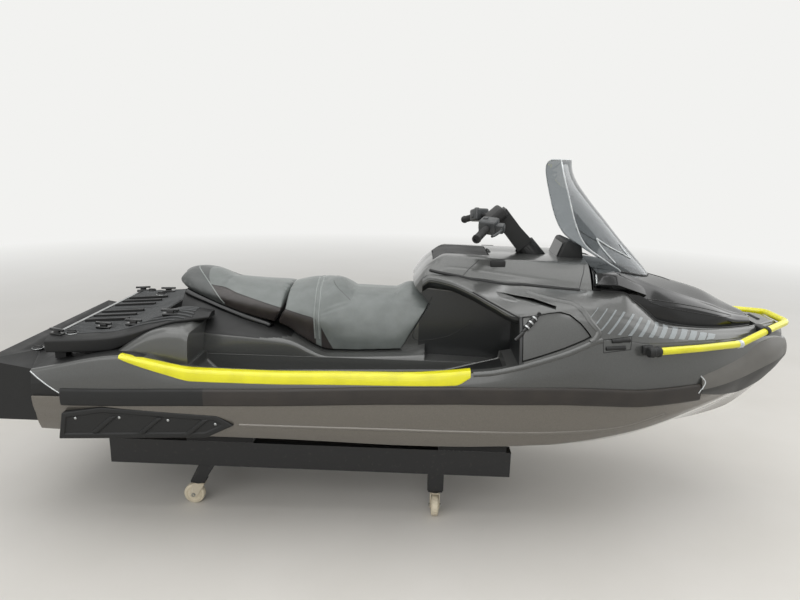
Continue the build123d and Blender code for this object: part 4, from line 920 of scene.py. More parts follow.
# %% Front shoulders and knee wings
CREST = faired(
    [
        # x, crest y z, inner edge y z
        (40, 262, 1134, 230, 1140),
        (78, 278, 1160, 234, 1164),
        (160, 336, 1156, 245, 1164),
        (250, 398, 1132, 258, 1162),
        (330, 452, 1099, 268, 1158),
        (450, 503, 1056, 290, 1150),
        (620, 474, 1074, 312, 1144),
        (730, 452, 1080, 326, 1134),
        (930, 412, 1040, 325, 1124),
        (985, 399, 1022, 322, 1083),
        (1045, 385, 1002, 318, 1039),
        (1100, 372, 985, 315, 996),
        (1330, 300, 958, 276, 962),
        (1600, 172, 942, 150, 948),
        (1750, 84, 940, 60, 955),
        (1812, 40, 905, 24, 912),
    ]
)


def shoulder_ring(x):
    """The shoulders' section: a bulging side, a crest and a slope to the inner edge."""
    edge_y, edge_z = STATIONS(x)[8:]
    crest_y, crest_z, inner_y, inner_z = CREST(x)
    foot_y, foot_z = edge_y - 2 * MM, edge_z - 10 * MM
    bulge = 50 * max(0.0, crest_z - edge_z)
    return section(
        (0, foot_z, 0, 0),
        (foot_y, foot_z, 1, 0),
        (foot_y, edge_z, 6, bulge),
        (crest_y, crest_z, 16, 3),
        (inner_y, inner_z, 5, 0),
        (0, inner_z, 0, 0),
        steps=5,
        runs=6,
    )


WING_LIP = 26 * MM
WING_TUCK = (22 * MM, 48 * MM)
WING_DEEP = 75 * MM


def wing_ring(x):
    """A knee wing's section on the port side: a lip that hangs over the footwell."""
    crest_y, crest_z, inner_y, inner_z = CREST(x)
    root = inner_y - 12 * MM
    corners = [
        (root, inner_z - WING_DEEP, 0, 0),
        (crest_y - WING_TUCK[0], crest_z - WING_TUCK[1], 8, 0),
        (crest_y, crest_z - WING_LIP, 9, 1.5),
        (crest_y, crest_z, 12, 3),
        (inner_y, inner_z, 2, 0),
        (root, inner_z, 0, 0),
    ]
    return softened(corners, closed=True, steps=5)


def pocket_ring(x):
    """The space under the hood."""
    inner_y = CREST(x)[2]
    low, high = HOOD_WELL_Z
    return [(-inner_y, low), (inner_y, low), (inner_y, high), (-inner_y, high)]


# %% Carve the shoulders
# The console stands in two steps of this space, the wider one in front.
CONSOLE_SPACE = [
    ((0.03, 0.796), (-0.232, 0.232), (0.6, ABOVE)),
    ((0.44, 0.796), (-0.288, 0.288), (0.6, ABOVE)),
]
shoulders = loft("front_shoulders_shell", evenly(0.450, 1.812, 0.02), shoulder_ring)
wings = mirrored(loft("wings", evenly(0.040, 0.470, 0.012), wing_ring))
carve(shoulders, wings, operation="UNION")
carve(shoulders, loft("pocket", evenly(*HOOD_WELL_X, 0.04), pocket_ring))
carve(shoulders, *(box(*space) for space in CONSOLE_SPACE), box(*BIN_HOLE, (0.5, ABOVE)))
print("shoulders", len(shoulders.data.polygons), "faces before the cover is cut")

# %% [markdown]
# The side of the shoulders carries a set-in cover over the foot locker, with a strap, and a
# long slot under the ridge. Each is cut out of the side and the cover is set back a little,
# so that a real gap runs round it.

# %% Cover and slot in each side
COVER = [
    (462, 1046), (520, 1052), (575, 1062), (625, 1066), (668, 1056), (712, 1024), (738, 996),
    (757, 970), (728, 956), (640, 922), (560, 896), (500, 878), (462, 868)
]
COVER_SET_BACK = 9 * MM
COVER_GAP = 4.5 * MM
SLOT = [(372, 1121), (450, 1111), (520, 1105), (612, 1084), (606, 1074), (560, 1084), (450, 1101)]
cover = parted(shoulders, "locker_cover", COVER, 0.36, 0.70, COVER_SET_BACK, COVER_GAP)
carve(shoulders, *prism_pair(metres(SLOT), 0.30, 0.70))
# Painted shade: a black floor deep in each slot.
slot_shade = mirrored(prism(metres(SLOT), 0.29, 0.325, name="ridge_slot_shade"))
finish(slot_shade, black_moulding)
finish(shoulders, deck_grey, ["front_shoulders", "knee_wings"], crease=28)
finish(cover, deck_grey, crease=28)
CAP_X = 0.463
CAP_TOP = 1.045


def footwell_shade(face):
    """The aft cap of the shoulders and the underside of the knee wings, where shade is painted."""
    return face.center.x < CAP_X and (face.center.z < CAP_TOP or face.normal.z < -0.2)


# Painted shade: the footwell faces of the shoulders and the cover are black.
for shell in (shoulders, cover):
    paint(shell, shade_black, footwell_shade)
print("shoulders", len(shoulders.data.polygons), "faces, cover", len(cover.data.polygons))

# %% Console
CONSOLE = faired(
    [
        # x, base half, flank half z, top half z
        (-75, 226, 230, 900, 140, 1030),
        (0, 230, 233, 1090, 145, 1120),
        (66, 232, 238, 1165, 157, 1200),
        (150, 240, 252, 1160, 195, 1246),
        (400, 262, 284, 1152, 214, 1240),
        (790, 325, 328, 1134, 226, 1236),
    ]
)
# Spaces for the seat's nose, the glovebox, its lid and its hinge.
NOSE = [(-0.0697, 0.77), (0.0803, 1.02), (-0.0157, 1.13), (-0.0157, 1.4), (-0.3, 1.4), (-0.3, 0.77)]
GLOVEBOX_SPACE = [
    ((0.100, 0.335), (-0.128, 0.128), (1.086, ABOVE)),
    ((0.084, 0.351), (-0.144, 0.144), (1.208, ABOVE)),
    ((0.350, 0.369), (-0.046, 0.046), (1.232, ABOVE)),
]
CONSOLE_FOOT = 0.775


def console_ring(x):
    """The console's section: an upright base, a flank that leans in and a crowned top."""
    base, flank, flank_z, top, top_z = CONSOLE(x)
    return section(
        (0, CONSOLE_FOOT, 0, 0),
        (base, CONSOLE_FOOT, 2, 0),
        (flank, flank_z, 7, 6),
        (top, top_z, 16, 4),
        (0, top_z, 0, 0),
        steps=6,
        runs=6,
    )


console = loft("console_shell", evenly(-0.075, 0.79, 0.015), console_ring)
carve(console, prism(NOSE, -0.33, 0.33), *(box(*space) for space in GLOVEBOX_SPACE))
finish(console, deck_grey, ["console"], crease=28)
# Painted shade: the console's low faces inside the footwell are black.
paint(console, shade_black, lambda face: face.center.z < 1.100 and face.center.x > 0.03)
LATCH = ((0.345, 0.415), (0.196, 0.246), (1.205, 1.238))
latch = mirrored(box(*LATCH, "console_latches", 7 * MM))
finish(latch, black_moulding, crease=35)
print("console", len(console.data.polygons), "faces")

# %% Hood
HOOD = faired(
    [
        # x, fold y z, middle y z, top
        (800, 300, 1172, 235, 1222, 1238),
        (930, 296, 1150, 222, 1196, 1212),
        (1100, 298, 1069, 206, 1142, 1168),
        (1240, 272, 1050, 190, 1098, 1133),
        (1400, 234, 1015, 158, 1048, 1088),
        (1520, 172, 980, 116, 1004, 1030),
        (1606, 128, 968, 70, 984, 992),
    ]
)
HOOD_WALL = 14 * MM
HOOD_GROOVE = 18 * MM
HOOD_SKIRT = 30 * MM
HOOD_LOWEST = 0.921


def hood_ring(x):
    """The hood's section: an open shell with a fold low down and another near its crown."""
    inner_y, inner_z = CREST(x)[2:]
    fold_y, fold_z, middle_y, middle_z, top = HOOD(x)
    foot_y = inner_y - HOOD_GROOVE
    foot_z = inner_z + 2 * MM
    low = max(foot_z - HOOD_SKIRT, HOOD_LOWEST)
    outer = softened(
        [
            (foot_y, low, 0, 0),
            (foot_y, foot_z, 3, 1),
            (fold_y, fold_z, 6, 4),
            (middle_y, middle_z, 8, 3),
            (0, top, 0, 0),
        ],
        steps=5,
        runs=6,
    )
    inner = softened(
        [
            (0, top - HOOD_WALL, 0, 0),
            (middle_y - HOOD_WALL, middle_z - HOOD_WALL, 4, 0),
            (fold_y - HOOD_WALL, fold_z - HOOD_WALL / 2, 4, 0),
            (foot_y - HOOD_WALL, foot_z, 2, 0),
            (foot_y - HOOD_WALL, low, 0, 0),
        ]
    )
    across = outer + [(-y, z) for y, z in reversed(outer[:-1])]
    return across + [(-y, z) for y, z in reversed(inner[1:])] + inner


hood = loft("hood_shell", evenly(0.800, 1.606, 0.015), hood_ring)
finish(hood, gloss_black, ["hood"], "hood", crease=26)
# Painted shade: the skirt low in the groove beside the shoulders is matte black.
paint(hood, black_moulding, lambda face: face.center.z < CREST(face.center.x)[3] + 12 * MM)
print("hood", len(hood.data.polygons), "faces")

# %% Hinge arms of the hood
HOOD_ARM = [(1.622, 0.960), (1.622, 0.977), (1.570, 0.990), (1.570, 0.968)]
HOOD_PIN = (1.622, 0.035, 0.966)


def pin_rod(radius, depth):
    """A rod across the craft at the hinge's pin."""
    rod = new_piece(
        "rod", bpy.ops.mesh.primitive_cylinder_add, radius=radius, depth=depth, vertices=32
    )
    put(rod, HOOD_PIN, (90, 0, 0))
    return rod


hood_arms = prism(HOOD_ARM, 0.024, 0.046, name="hood_hinge_arms")
carve(hood_arms, pin_rod(11 * MM, 22 * MM), operation="UNION")
carve(hood_arms, pin_rod(5.5 * MM, 60 * MM))
rounded(hood_arms, 1 * MM, 2)
finish(mirrored(hood_arms), black_moulding, body="hood")
print("hood arms", len(hood_arms.data.polygons), "faces")

# %% [markdown]
# ## Bumper, pedestal and strips
# The bumper is one grey moulding round the stem, with an upper and a lower face that meet
# in a crease. The pedestal carries the seats. A dark rubber band covers the joint of hull
# and deck, and a bright yellow strip protects each gunwale beside the footwell.

# %% Bow bumper
BUMPER = faired(
    [
        # x, low, crease, high
        (1291, 690, 717, 775),
        (1400, 664, 724, 803),
        (1523, 645, 738, 835),
        (1650, 672, 764, 878),
        (1750, 722, 785, 884),
        (1845, 762, 800, 856),
    ]
)
BUMPER_EDGE = 5 * MM
BUMPER_PROUD = 20 * MM
# The (half breadth, height) of the low edge, crease and high edge past the stem.
BUMPER_TIP = ((7 * MM, 0.788), (14 * MM, 0.806), (7 * MM, 0.838))
STEM_X = 1.8451


def side_of_hull(x, z):
    """Half breadth of the hull or deck at a height."""
    half, _, _, _, chine_y, chine_z, knuckle_z, sheer, edge_y, edge_z = STATIONS(x)
    side = half - RUB_PROUD
    knuckle_y = chine_y + KNUCKLE_SHARE * (side - chine_y)
    path = [(chine_y, chine_z), (knuckle_y, knuckle_z), (side, sheer), (edge_y, edge_z)]
    if z <= path[0][1]:
        return chine_y
    for (low_y, low_z), (high_y, high_z) in zip(path, path[1:]):
        if z <= high_z:
            return low_y + (high_y - low_y) * (z - low_z) / (high_z - low_z)
    return edge_y


def bumper_ring(x):
    """The bumper's section, whose hidden middle lies inside the hull."""
    if x > STEM_X:
        (low_y, low), (crease_y, crease), (high_y, high) = BUMPER_TIP
    else:
        low, crease, high = BUMPER(x)
        low_y = side_of_hull(x, low) + BUMPER_EDGE
        crease_y = STATIONS(x)[0] - RUB_PROUD + BUMPER_PROUD
        high_y = side_of_hull(x, high) + BUMPER_EDGE
    return section(
        (0, low, 0, 0),
        (low_y, low, 6, 3),
        (crease_y, crease, 7, 5),
        (high_y, high, 8, 0),
        (0, high, 0, 0),
        steps=5,
        runs=5,
    )


bumper = loft("bow_bumper_shell", evenly(1.291, 1.845, 0.02) + [1.857, 1.865], bumper_ring)
finish(bumper, bumper_grey, ["bow_bumper"], crease=30)
# Painted shade: the faces that look down are darker.
paint(bumper, bumper_shade, lambda face: face.normal.z < -0.12)
print("bumper", len(bumper.data.polygons), "faces")

# %% Rub band
RUB_X = (-1.500, 1.290)
RUB_JOINT = -0.865
RUB_ROOT = 42 * MM
RUB_HALF = 39 * MM
RUB_FLAT = 30 * MM


def rub_ring(x):
    """The rub band's section on the port side."""
    half, *_, sheer, _, _ = STATIONS(x)
    corners = [
        (half - RUB_ROOT, sheer - RUB_HALF, 0, 0),
        (half - 6 * MM, sheer - RUB_HALF, 5, 0),
        (half, sheer - RUB_FLAT, 6, 1.5),
        (half, sheer + RUB_FLAT, 6, 0),
        (half - 6 * MM, sheer + RUB_HALF, 5, 0),
        (half - RUB_ROOT, sheer + RUB_HALF, 0, 0),
    ]
    return softened(corners, closed=True)


rub_band = mirrored(loft("rub_band", evenly(*RUB_X, 0.015), rub_ring))
finish(rub_band, rub_rubber, ["rub_rails"], crease=34)
paint(rub_band, black_moulding, lambda face: face.center.x < RUB_JOINT)
print("rub band", len(rub_band.data.polygons), "faces")

# %% Yellow strips
RAIL = faired(
    [
        # x, low, high
        (-1227, 832, 846),
        (-1190, 817, 839),
        (-1000, 763, 803),
        (-965, 754, 797),
        (-930, 748, 794),
        (-900, 747, 793),
        (-600, 748, 791),
        (-330, 755, 798),
        (0, 762, 806),
        (190, 769, 822),
        (250, 802, 830),
    ]
)
# A strip stands proud of the side, turns in over the edge, and stands off at its aft end.
RAIL_PROUD = 10 * MM
RAIL_TURN_IN = 34 * MM
RAIL_STAND_OFF = 7 * MM
RAIL_OFF_X = (-1.080, 0.090)


def rail_ring(x):
    """A yellow strip's section: up the deck's side, over its edge and a little inwards."""
    low, high = RAIL(x)
    top = high + 3 * MM
    low_y = side_of_hull(x, low)
    off = min(1.0, max(0.0, (RAIL_OFF_X[0] - x) / RAIL_OFF_X[1]))
    edge_y = STATIONS(x)[8] + RAIL_STAND_OFF * off
    corners = [
        (low_y - 8 * MM, low, 0, 0),
        (low_y + RAIL_PROUD, low, 5, 1),
        (edge_y + RAIL_PROUD, top - 9 * MM, 6, 0),
        (edge_y + 2 * MM, top, 5, 1),
        (edge_y - RAIL_TURN_IN, top, 4, 0),
        (edge_y - RAIL_TURN_IN, min(low, top - 18 * MM), 0, 0),
    ]
    return softened(corners, closed=True, steps=5)


rail = mirrored(loft("gunwale_strips", evenly(-1.227, 0.250, 0.012), rail_ring))
finish(rail, yellow, ["gunwale_rails"], crease=40)
print("yellow strips", len(rail.data.polygons), "faces")

# %% Seat pedestal
PEDESTAL = faired(
    [
        # x, top z half, middle z half
        (-1100, 1036, 150, 960, 215),
        (-960, 985, 200, 880, 318),
        (-760, 920, 225, 868, 328),
        (-575, 868, 240, 852, 330),
        (-383, 785, 250, 783, 330),
        (-60, 795, 240, 793, 328),
        (60, 830, 235, 800, 322),
    ]
)
PEDESTAL_FOOT = (0.334, 0.775)
PEDESTAL_LOWEST = 0.782
SHADOW_X = -0.500


def pedestal_ring(x):
    """The pedestal's section, standing on the deck between the footwells."""
    top_z, top_half, middle_z, middle_half = PEDESTAL(x)
    return section(
        (0, PEDESTAL_FOOT[1], 0, 0),
        (*PEDESTAL_FOOT, 2, 0),
        (middle_half, max(middle_z, PEDESTAL_LOWEST), 16, 4),
        (top_half, top_z, 12, 0),
        (0, top_z, 0, 0),
        steps=6,
        runs=5,
    )


def under_seat(face):
    """The pedestal's sloping top, in the seat's shadow, which is painted on it in black."""
    return face.normal.z > 0.35 and face.center.z > 0.86 and face.center.x < SHADOW_X


pedestal = loft("seat_pedestal_shell", evenly(-1.100, 0.060, 0.02), pedestal_ring)
finish(pedestal, deck_grey, ["seat_pedestal"], crease=30)
# Painted shadow: the top under the seat is black.
paint(pedestal, black_moulding, under_seat)
print("pedestal", len(pedestal.data.polygons), "faces")

# %% [markdown]
# ## Beads, seams and stripes
# A moulded boat is full of lines: rolled beads, black seals where mouldings meet, and thin
# joints. Each is drawn as a few points seen from the side and laid on the surface by casting
# rays at it, so that it follows the form exactly.

# %% Beads and seals
CHINE = [(-730, 547), (-380, 549), (-37, 552), (305, 549), (659, 545), (923, 556), (1132, 606)]
finish(bead("chine_bead", laid([hull], CHINE, 4 * MM, 90), 9 * MM, sides=5), hull_grey)
JOINT = [(1287, 773), (1306, 749), (1292, 722), (1276, 700)]
joint_line = bead("bumper_joint", laid([deck, bumper, rub_band], JOINT, 0.5 * MM, 16), 2.6 * MM)
finish(joint_line, pale_trim_and_highlight)
BEAD_RADIUS = 16 * MM
BEAD_SUNK = 9 * MM
RIDGE = [(500, 1124), (560, 1112), (640, 1100), (690, 1092), (727, 1066), (755, 1028), (789, 990)]
RIDGE_LOW = [(788, 992), (786, 982), (780, 970), (768, 957), (752, 948)]
ridge_bead = joined(
    "ridge_bead",
    [
        bead("high", laid([shoulders], RIDGE, BEAD_SUNK), BEAD_RADIUS, sides=5),
        bead("low", laid([shoulders, deck], RIDGE_LOW, BEAD_SUNK), BEAD_RADIUS, sides=5),
    ],
)
finish(ridge_bead, deck_grey)
GUNWALE_BEAD_X = (0.262, 0.800)
GUNWALE_SUNK = Vector((0, 9 * MM, 7 * MM))
rim = [Vector((x, *STATIONS(x)[8:])) - GUNWALE_SUNK for x in evenly(*GUNWALE_BEAD_X, 0.012)]
gunwale_bead = bead("gunwale_bead", rim, 14 * MM)
finish(gunwale_bead, deck_grey)
print("beads", len(ridge_bead.data.polygons) + len(gunwale_bead.data.polygons), "faces")

# %% Seals and joints
SEALS = {
    # name: (radius, points seen from the side)
    "console_seal": (
        7, [(73, 1180), (146, 1170), (272, 1156), (410, 1144), (500, 1143), (614, 1138), (735, 1132)]
    ),
    "flap_seal": (3.5, [(259, 1124), (329, 1094), (391, 1068), (452, 1041)]),
}
for name, (radius, points) in SEALS.items():
    seal = bead(name, laid([console, shoulders], points), radius * MM)
    finish(seal, black_moulding)
JOINT_RADIUS = 1.6 * MM
JOINTS = {
    "console_joint": [(296, 1233), (255, 1200), (223, 1166)],
    "console_end_joint": [(770, 1226), (762, 1200), (748, 1170), (737, 1138)],
    "console_base_joint": [(280, 950), (154, 868), (4, 859), (87, 1058)],
}
joints = [
    bead(name, laid([console], points, 0.6 * MM), JOINT_RADIUS) for name, points in JOINTS.items()
]
console_joints = joined("console_joints", joints)
finish(console_joints, black_moulding)
print(len(SEALS), "seals and", len(JOINTS), "joints a side")

# %% Stripes on the shoulders
STRIPES = 14
STRIPE_FIRST_X = 680
STRIPE_PITCH = 49.9
STRIPE_LEAN = 1.15
STRIPE_WIDTH = (4.0, 3.0)
STRIPE_TOP = [
    (740, 1088), (775, 1082), (867, 1068), (954, 1048), (1040, 1014), (1132, 984), (1223, 967),
    (1400, 936)
]
STRIPE_LOW = [
    (700, 1100), (745, 1057), (771, 1029), (794, 997), (830, 979), (977, 961), (1131, 942),
    (1280, 928), (1400, 926)
]
STRIPE_LEVEL_X = 830
STRIPE_SHORTEST = 4
STRIPE_PROUD = 0.4 * MM


def height_at(points, x):
    """Height of a line of (x, z) points at x."""
    for (x0, z0), (x1, z1) in zip(points, points[1:]):
        if x <= x1:
            return z0 + (z1 - z0) * (x - x0) / (x1 - x0)
    return points[-1][1]


def stripe_end(points, foot_x, foot_z):
    """Where a leaning edge meets a bounding line."""
    z = foot_z
    for _ in range(30):
        x = foot_x + (z - foot_z) * STRIPE_LEAN
        z += 0.5 * (height_at(points, x) - z)
    return foot_x + (z - foot_z) * STRIPE_LEAN, z


stripes = []
for i in range(STRIPES):
    foot_x = STRIPE_FIRST_X + STRIPE_PITCH * i
    half = (STRIPE_WIDTH[0] + STRIPE_WIDTH[1] * i) / 2
    foot_z = height_at(STRIPE_LOW, max(foot_x, STRIPE_LEVEL_X))
    ends = []
    for x in (foot_x - half, foot_x + half):
        ends.append((stripe_end(STRIPE_LOW, x, foot_z), stripe_end(STRIPE_TOP, x, foot_z)))
    if ends[0][1][1] - ends[0][0][1] < STRIPE_SHORTEST:
        continue
    stripe = new_piece(
        "stripe", bpy.ops.mesh.primitive_grid_add, x_subdivisions=4, y_subdivisions=10
    )
    for vertex in stripe.data.vertices:
        across, up = (vertex.co.x + 1) / 2, (vertex.co.y + 1) / 2
        sides = [Vector(low).lerp(Vector(high), up) for low, high in ends]
        spot, normal = side_hit([shoulders], *sides[0].lerp(sides[1], across))
        vertex.co = spot + normal * STRIPE_PROUD
    stripes.append(stripe)
striping = joined("shoulder_stripes", stripes)
modify(striping, "SOLIDIFY", thickness=2 * STRIPE_PROUD, offset=-1)
finish(mirrored(striping), stripe_film)
print(len(stripes), "stripes a side")

# %% [markdown]
# ## Seats
# Each seat is a foam block under a sewn marine vinyl cover. The real cover is tight at its
# seams and swells between them. So the outer shape is lofted a little small, remeshed into
# even squares, and inflated by a cloth simulation whose points are held at the base and along
# the seams, and may move only a few millimetres. Then the piping is laid in the seams.

# %% Seat shapes
SEAT = faired(
    [
        # x, base z half, side z half, top z half, crown z
        (-1140, 1062, 100, 1085, 125, 1105, 80, 1116),
        (-1085, 1035, 150, 1070, 182, 1112, 108, 1128),
        (-1000, 1006, 185, 1050, 214, 1100, 124, 1122),
        (-900, 972, 210, 1035, 236, 1058, 140, 1085),
        (-750, 930, 230, 1008, 256, 1048, 150, 1074),
        (-605, 895, 240, 985, 270, 1045, 165, 1068),
        (-480, 815, 250, 960, 274, 1066, 160, 1092),
        (-371, 783, 252, 930, 270, 1064, 155, 1091),
        (-281, 783, 252, 905, 262, 1022, 172, 1042),
        (-95, 785, 245, 905, 246, 1018, 165, 1038),
        (-16, 800, 236, 940, 240, 1052, 140, 1080),
        (95, 830, 224, 1000, 234, 1030, 130, 1062),
    ]
)
SEAT_GAP_LINE = [(-612, 1200), (-607, 1050), (-604, 985), (-622, 950), (-640, 925), (-650, 700)]
SEAT_GAP_HALF = 5
SEAT_NOSE = [(-70, 760), (80, 1020), (-16, 1130), (-16, 1300)]


def seat_ring(x):
    """The seat's section: base, side, top edge and crown."""
    low_z, low_half, side_z, side_half, top_z, top_half, crown = SEAT(x)
    return section(
        (0, low_z, 0, 0),
        (low_half, low_z, 6, 0),
        (side_half, side_z, 40, 2),
        (top_half, top_z, 30, 2),
        (0, crown, 0, 0),
        steps=6,
        runs=6,
    )


def seat_part(name, outline):
    """The part of the seat inside an outline of (x, z) points, standing on the pedestal."""
    part = loft(name, evenly(-1.140, 0.095, 0.015), seat_ring)
    carve(part, prism(metres(outline), -0.4, 0.4), operation="INTERSECT")
    carve(part, copied(pedestal, "bed", (0, 0, 1.5 * MM)))
    return part


aft_line = [(x - SEAT_GAP_HALF, z) for x, z in SEAT_GAP_LINE]
fore_line = [(x + SEAT_GAP_HALF, z) for x, z in SEAT_GAP_LINE]
passenger = seat_part("passenger_cushion", [(-1300, 1200), *aft_line, (-1300, 700)])
driver = seat_part("driver_cushion", [*fore_line, (-80, 700), *SEAT_NOSE])
print("cushions", len(passenger.data.polygons), len(driver.data.polygons), "faces")

# %% Swell the covers
VOXEL = 7 * MM
SEAT_SHRINK = 4 * MM
SEAT_SWELL = 9 * MM
SIM_FRAMES = 20
SEWN_REACH = 5 * MM
CLOTH = {
    "use_pressure": True,
    "uniform_pressure_force": 4.0,
    "vertex_group_mass": "sewn",
    "quality": 4,
    "tension_stiffness": 8,
    "bending_stiffness": 0.4,
}


def inflate(obj):
    """Runs the cloth simulation on a cushion and keeps its last shape."""
    select_only(obj)
    cloth = obj.modifiers.new("Cloth", "CLOTH")
    for key, value in CLOTH.items():
        setattr(cloth.settings, key, value)
    cloth.settings.effector_weights.gravity = 0
    cloth.collision_settings.use_collision = False
    cloth.point_cache.frame_start = 1
    cloth.point_cache.frame_end = SIM_FRAMES
    for step in range(1, SIM_FRAMES + 1):
        scene.frame_set(step)
    bpy.ops.object.modifier_apply(modifier=cloth.name)
    scene.frame_set(1)


def swollen(obj, sewn):
    """Inflates a cushion; points where sewn(place, normal) is true stay where they are."""
    modify(obj, "REMESH", mode="VOXEL", voxel_size=VOXEL)
    modify(obj, "SMOOTH", factor=0.5, iterations=4)
    modify(obj, "DISPLACE", strength=-SEAT_SHRINK, mid_level=0.0)
    held = obj.vertex_groups.new(name="sewn")
    held.add([v.index for v in obj.data.vertices if sewn(v.co, v.normal)], 1.0, "REPLACE")
    rest = [v.co.copy() for v in obj.data.vertices]
    inflate(obj)
    for vertex, start in zip(obj.data.vertices, rest):
        move = vertex.co - start
        if move.length > SEAT_SWELL:
            vertex.co = start + move.normalized() * SEAT_SWELL
    moved = max((v.co - start).length for v, start in zip(obj.data.vertices, rest))
    modify(obj, "SMOOTH", factor=0.5, iterations=2)
    modify(obj, "SUBSURF", levels=1, render_levels=1)
    smooth(obj, 180)
    print(obj.name, len(obj.data.polygons), "faces, swollen by", round(moved / MM, 1), "mm")


# %% Where the covers are sewn
def near_line(spot, points):
    """Whether a place lies within the sewing's reach of a line of (x, z) points, from the side."""
    x = spot.x / MM
    if not points[0][0] <= x <= points[-1][0]:
        return False
    return abs(spot.z / MM - height_at(points, x)) * MM < SEWN_REACH


# The two seams of the raised band lean aft from its top to its foot.
BAND_LEAN = (-470, -455)
BAND_GAP = 21
BAND_TOP = 1.09
BAND_FOOT = 0.86


def near_band(spot, low_x, high_x):
    """Whether a place lies on a seam that runs over the seat, leaning by its height."""
    share = min(max((BAND_TOP - spot.z) / (BAND_TOP - BAND_FOOT), 0.0), 1.0)
    return abs(spot.x - (low_x + (high_x - low_x) * share) * MM) < SEWN_REACH


def passenger_sewn(spot, normal):
    """Base, side seam and tail seam."""
    return normal.z < -0.5 or near_line(spot, SIDE_SEAM)


def driver_sewn(spot, normal):
    """Base, side seam and the two seams of the raised band."""
    aft_band = near_band(spot, *BAND_LEAN)
    fore_band = near_band(spot, BAND_LEAN[0] + BAND_GAP, BAND_LEAN[1] + BAND_GAP)
    side = near_line(spot, SIDE_SEAM)
    return normal.z < -0.5 or side or aft_band or fore_band


swollen(passenger, passenger_sewn)
swollen(driver, driver_sewn)
finish(passenger, seat_grey, ["passenger_seat"])
finish(driver, seat_grey, ["driver_seat"])

# %% Piping in the seams
SEAM_SUNK = 0.6 * MM
SEAM_RADIUS = 2.0 * MM
CREASE_RADIUS = 1.4 * MM
FRONT_SEAM = [(-597, 981), (-532, 963), (-470, 947)]
FOLD = [(-394, 1084), (-372, 1068), (-346, 1050), (-322, 1030), (-300, 1012)]
WEDGE_SEAM = [(-428, 904), (-400, 846), (-372, 792)]
seams = [bead("side", laid([passenger], SIDE_SEAM[:5], SEAM_SUNK, 80), SEAM_RADIUS)]
for points, radius in ((FRONT_SEAM, SEAM_RADIUS), (FOLD, CREASE_RADIUS), (WEDGE_SEAM, CREASE_RADIUS)):
    seams.append(bead("seam", laid([driver], points, SEAM_SUNK), radius))
finish(joined("seat_seams", seams), seam_thread)
tail_line = girdle([passenger], -1077, -892, 1.3, 1.0 * MM, power=1.4)
passenger_piping = bead("passenger_piping", tail_line, 3.2 * MM, mirror=False)
finish(passenger_piping, piping)
bands = []
for shift in (0, BAND_GAP):
    band_line = girdle([driver], BAND_LEAN[0] + shift, BAND_LEAN[1] + shift, 1.9, 1.5 * MM)
    bands.append(bead("band", band_line, 4.5 * MM, mirror=False))
driver_piping = joined("driver_piping", bands)
finish(driver_piping, piping)
print("piping", len(passenger_piping.data.polygons) + len(driver_piping.data.polygons), "faces")

# %% [markdown]
# ## Windscreen
# The screen is one sheet of smoked acrylic, 5 mm thick, bent round the front and standing on
# the hood. A table gives where its middle and its edges lie at each height. The sheet is
# given its thickness and cut to the hood. Near-white beads along its edge and its folds are
# painted highlights, the bright lines of light on the polished acrylic.

# %% Windscreen
SCREEN = faired(
    [
        # height, middle x, edge x, edge y
        (1130, 1160, 990, 172),
        (1194, 1108, 952, 190),
        (1240, 1064, 880, 215),
        (1320, 986, 768, 224),
        (1410, 905, 718, 228),
        (1520, 806, 682, 224),
        (1600, 744, 659, 212),
        (1640, 726, 650, 198),
        (1665, 722, 648, 175),
        (1680, 723, 651, 143),
        (1688, 724, 658, 104),
    ]
)
SCREEN_THICK = 5 * MM
SCREEN_ROWS = 70
SCREEN_COLUMNS = 40
SCREEN_Z = (1.130, 1.688)
SCREEN_ROUND = 2.2


def screen_point(turn, z, proud=0.0):
    """A point of the sheet: turn runs from -1 at one edge to 1 at the other."""
    middle_x, edge_x, edge_y = SCREEN(z)
    share = math.sin(turn * math.pi / 2)
    x = edge_x + (middle_x - edge_x) * (1 - abs(share) ** SCREEN_ROUND)
    return Vector((x + proud, (edge_y + proud) * share, z))


def hood_block_ring(x):
    """The hood's outer section, filled down to its foot."""
    inner_y, inner_z = CREST(x)[2:]
    fold_y, fold_z, middle_y, middle_z, top = HOOD(x)
    return both_halves(
        [(0.0, inner_z), (inner_y, inner_z), (fold_y, fold_z), (middle_y, middle_z), (0.0, top)]
    )


windscreen = new_piece(
    "windscreen",
    bpy.ops.mesh.primitive_grid_add,
    x_subdivisions=SCREEN_COLUMNS,
    y_subdivisions=SCREEN_ROWS,
)
for vertex in windscreen.data.vertices:
    rise = (vertex.co.y + 1) / 2
    vertex.co = screen_point(vertex.co.x, SCREEN_Z[0] + (SCREEN_Z[1] - SCREEN_Z[0]) * rise)
modify(windscreen, "SOLIDIFY", thickness=SCREEN_THICK, offset=0, use_even_offset=True)
carve(windscreen, loft("hood_block", evenly(0.800, 1.606, 0.03), hood_block_ring))
finish(outward(windscreen), screen, ["windshield"], "hood", crease=30)
print("windscreen", len(windscreen.data.polygons), "faces")

# %% Lip of the screen, and its rim and folds as painted highlights
LIP_STEPS = 30
FOOT_STEPS = 199
RIM_STEPS = 12
RIM_RADIUS = 3.2 * MM
FOLD_PROUD = 4 * MM


def screen_foot(turn):
    """Where the sheet meets the hood, at a turn."""
    for k in range(FOOT_STEPS + 1):
        spot = screen_point(turn, SCREEN_Z[1] - (SCREEN_Z[1] - SCREEN_Z[0]) * k / FOOT_STEPS)
        hit = nearest_hit([hood], Vector((spot.x, spot.y, 1.6)), DOWN)
        if hit and spot.z <= hit[0].z + 2 * MM:
            return spot
    return None


feet = [screen_foot(k / LIP_STEPS) for k in range(-LIP_STEPS, LIP_STEPS + 1)]
foot_line = [spot for spot in feet if spot]
screen_lip = bead("screen_lip", foot_line, 5 * MM, mirror=False)
finish(screen_lip, black_moulding, body="hood")
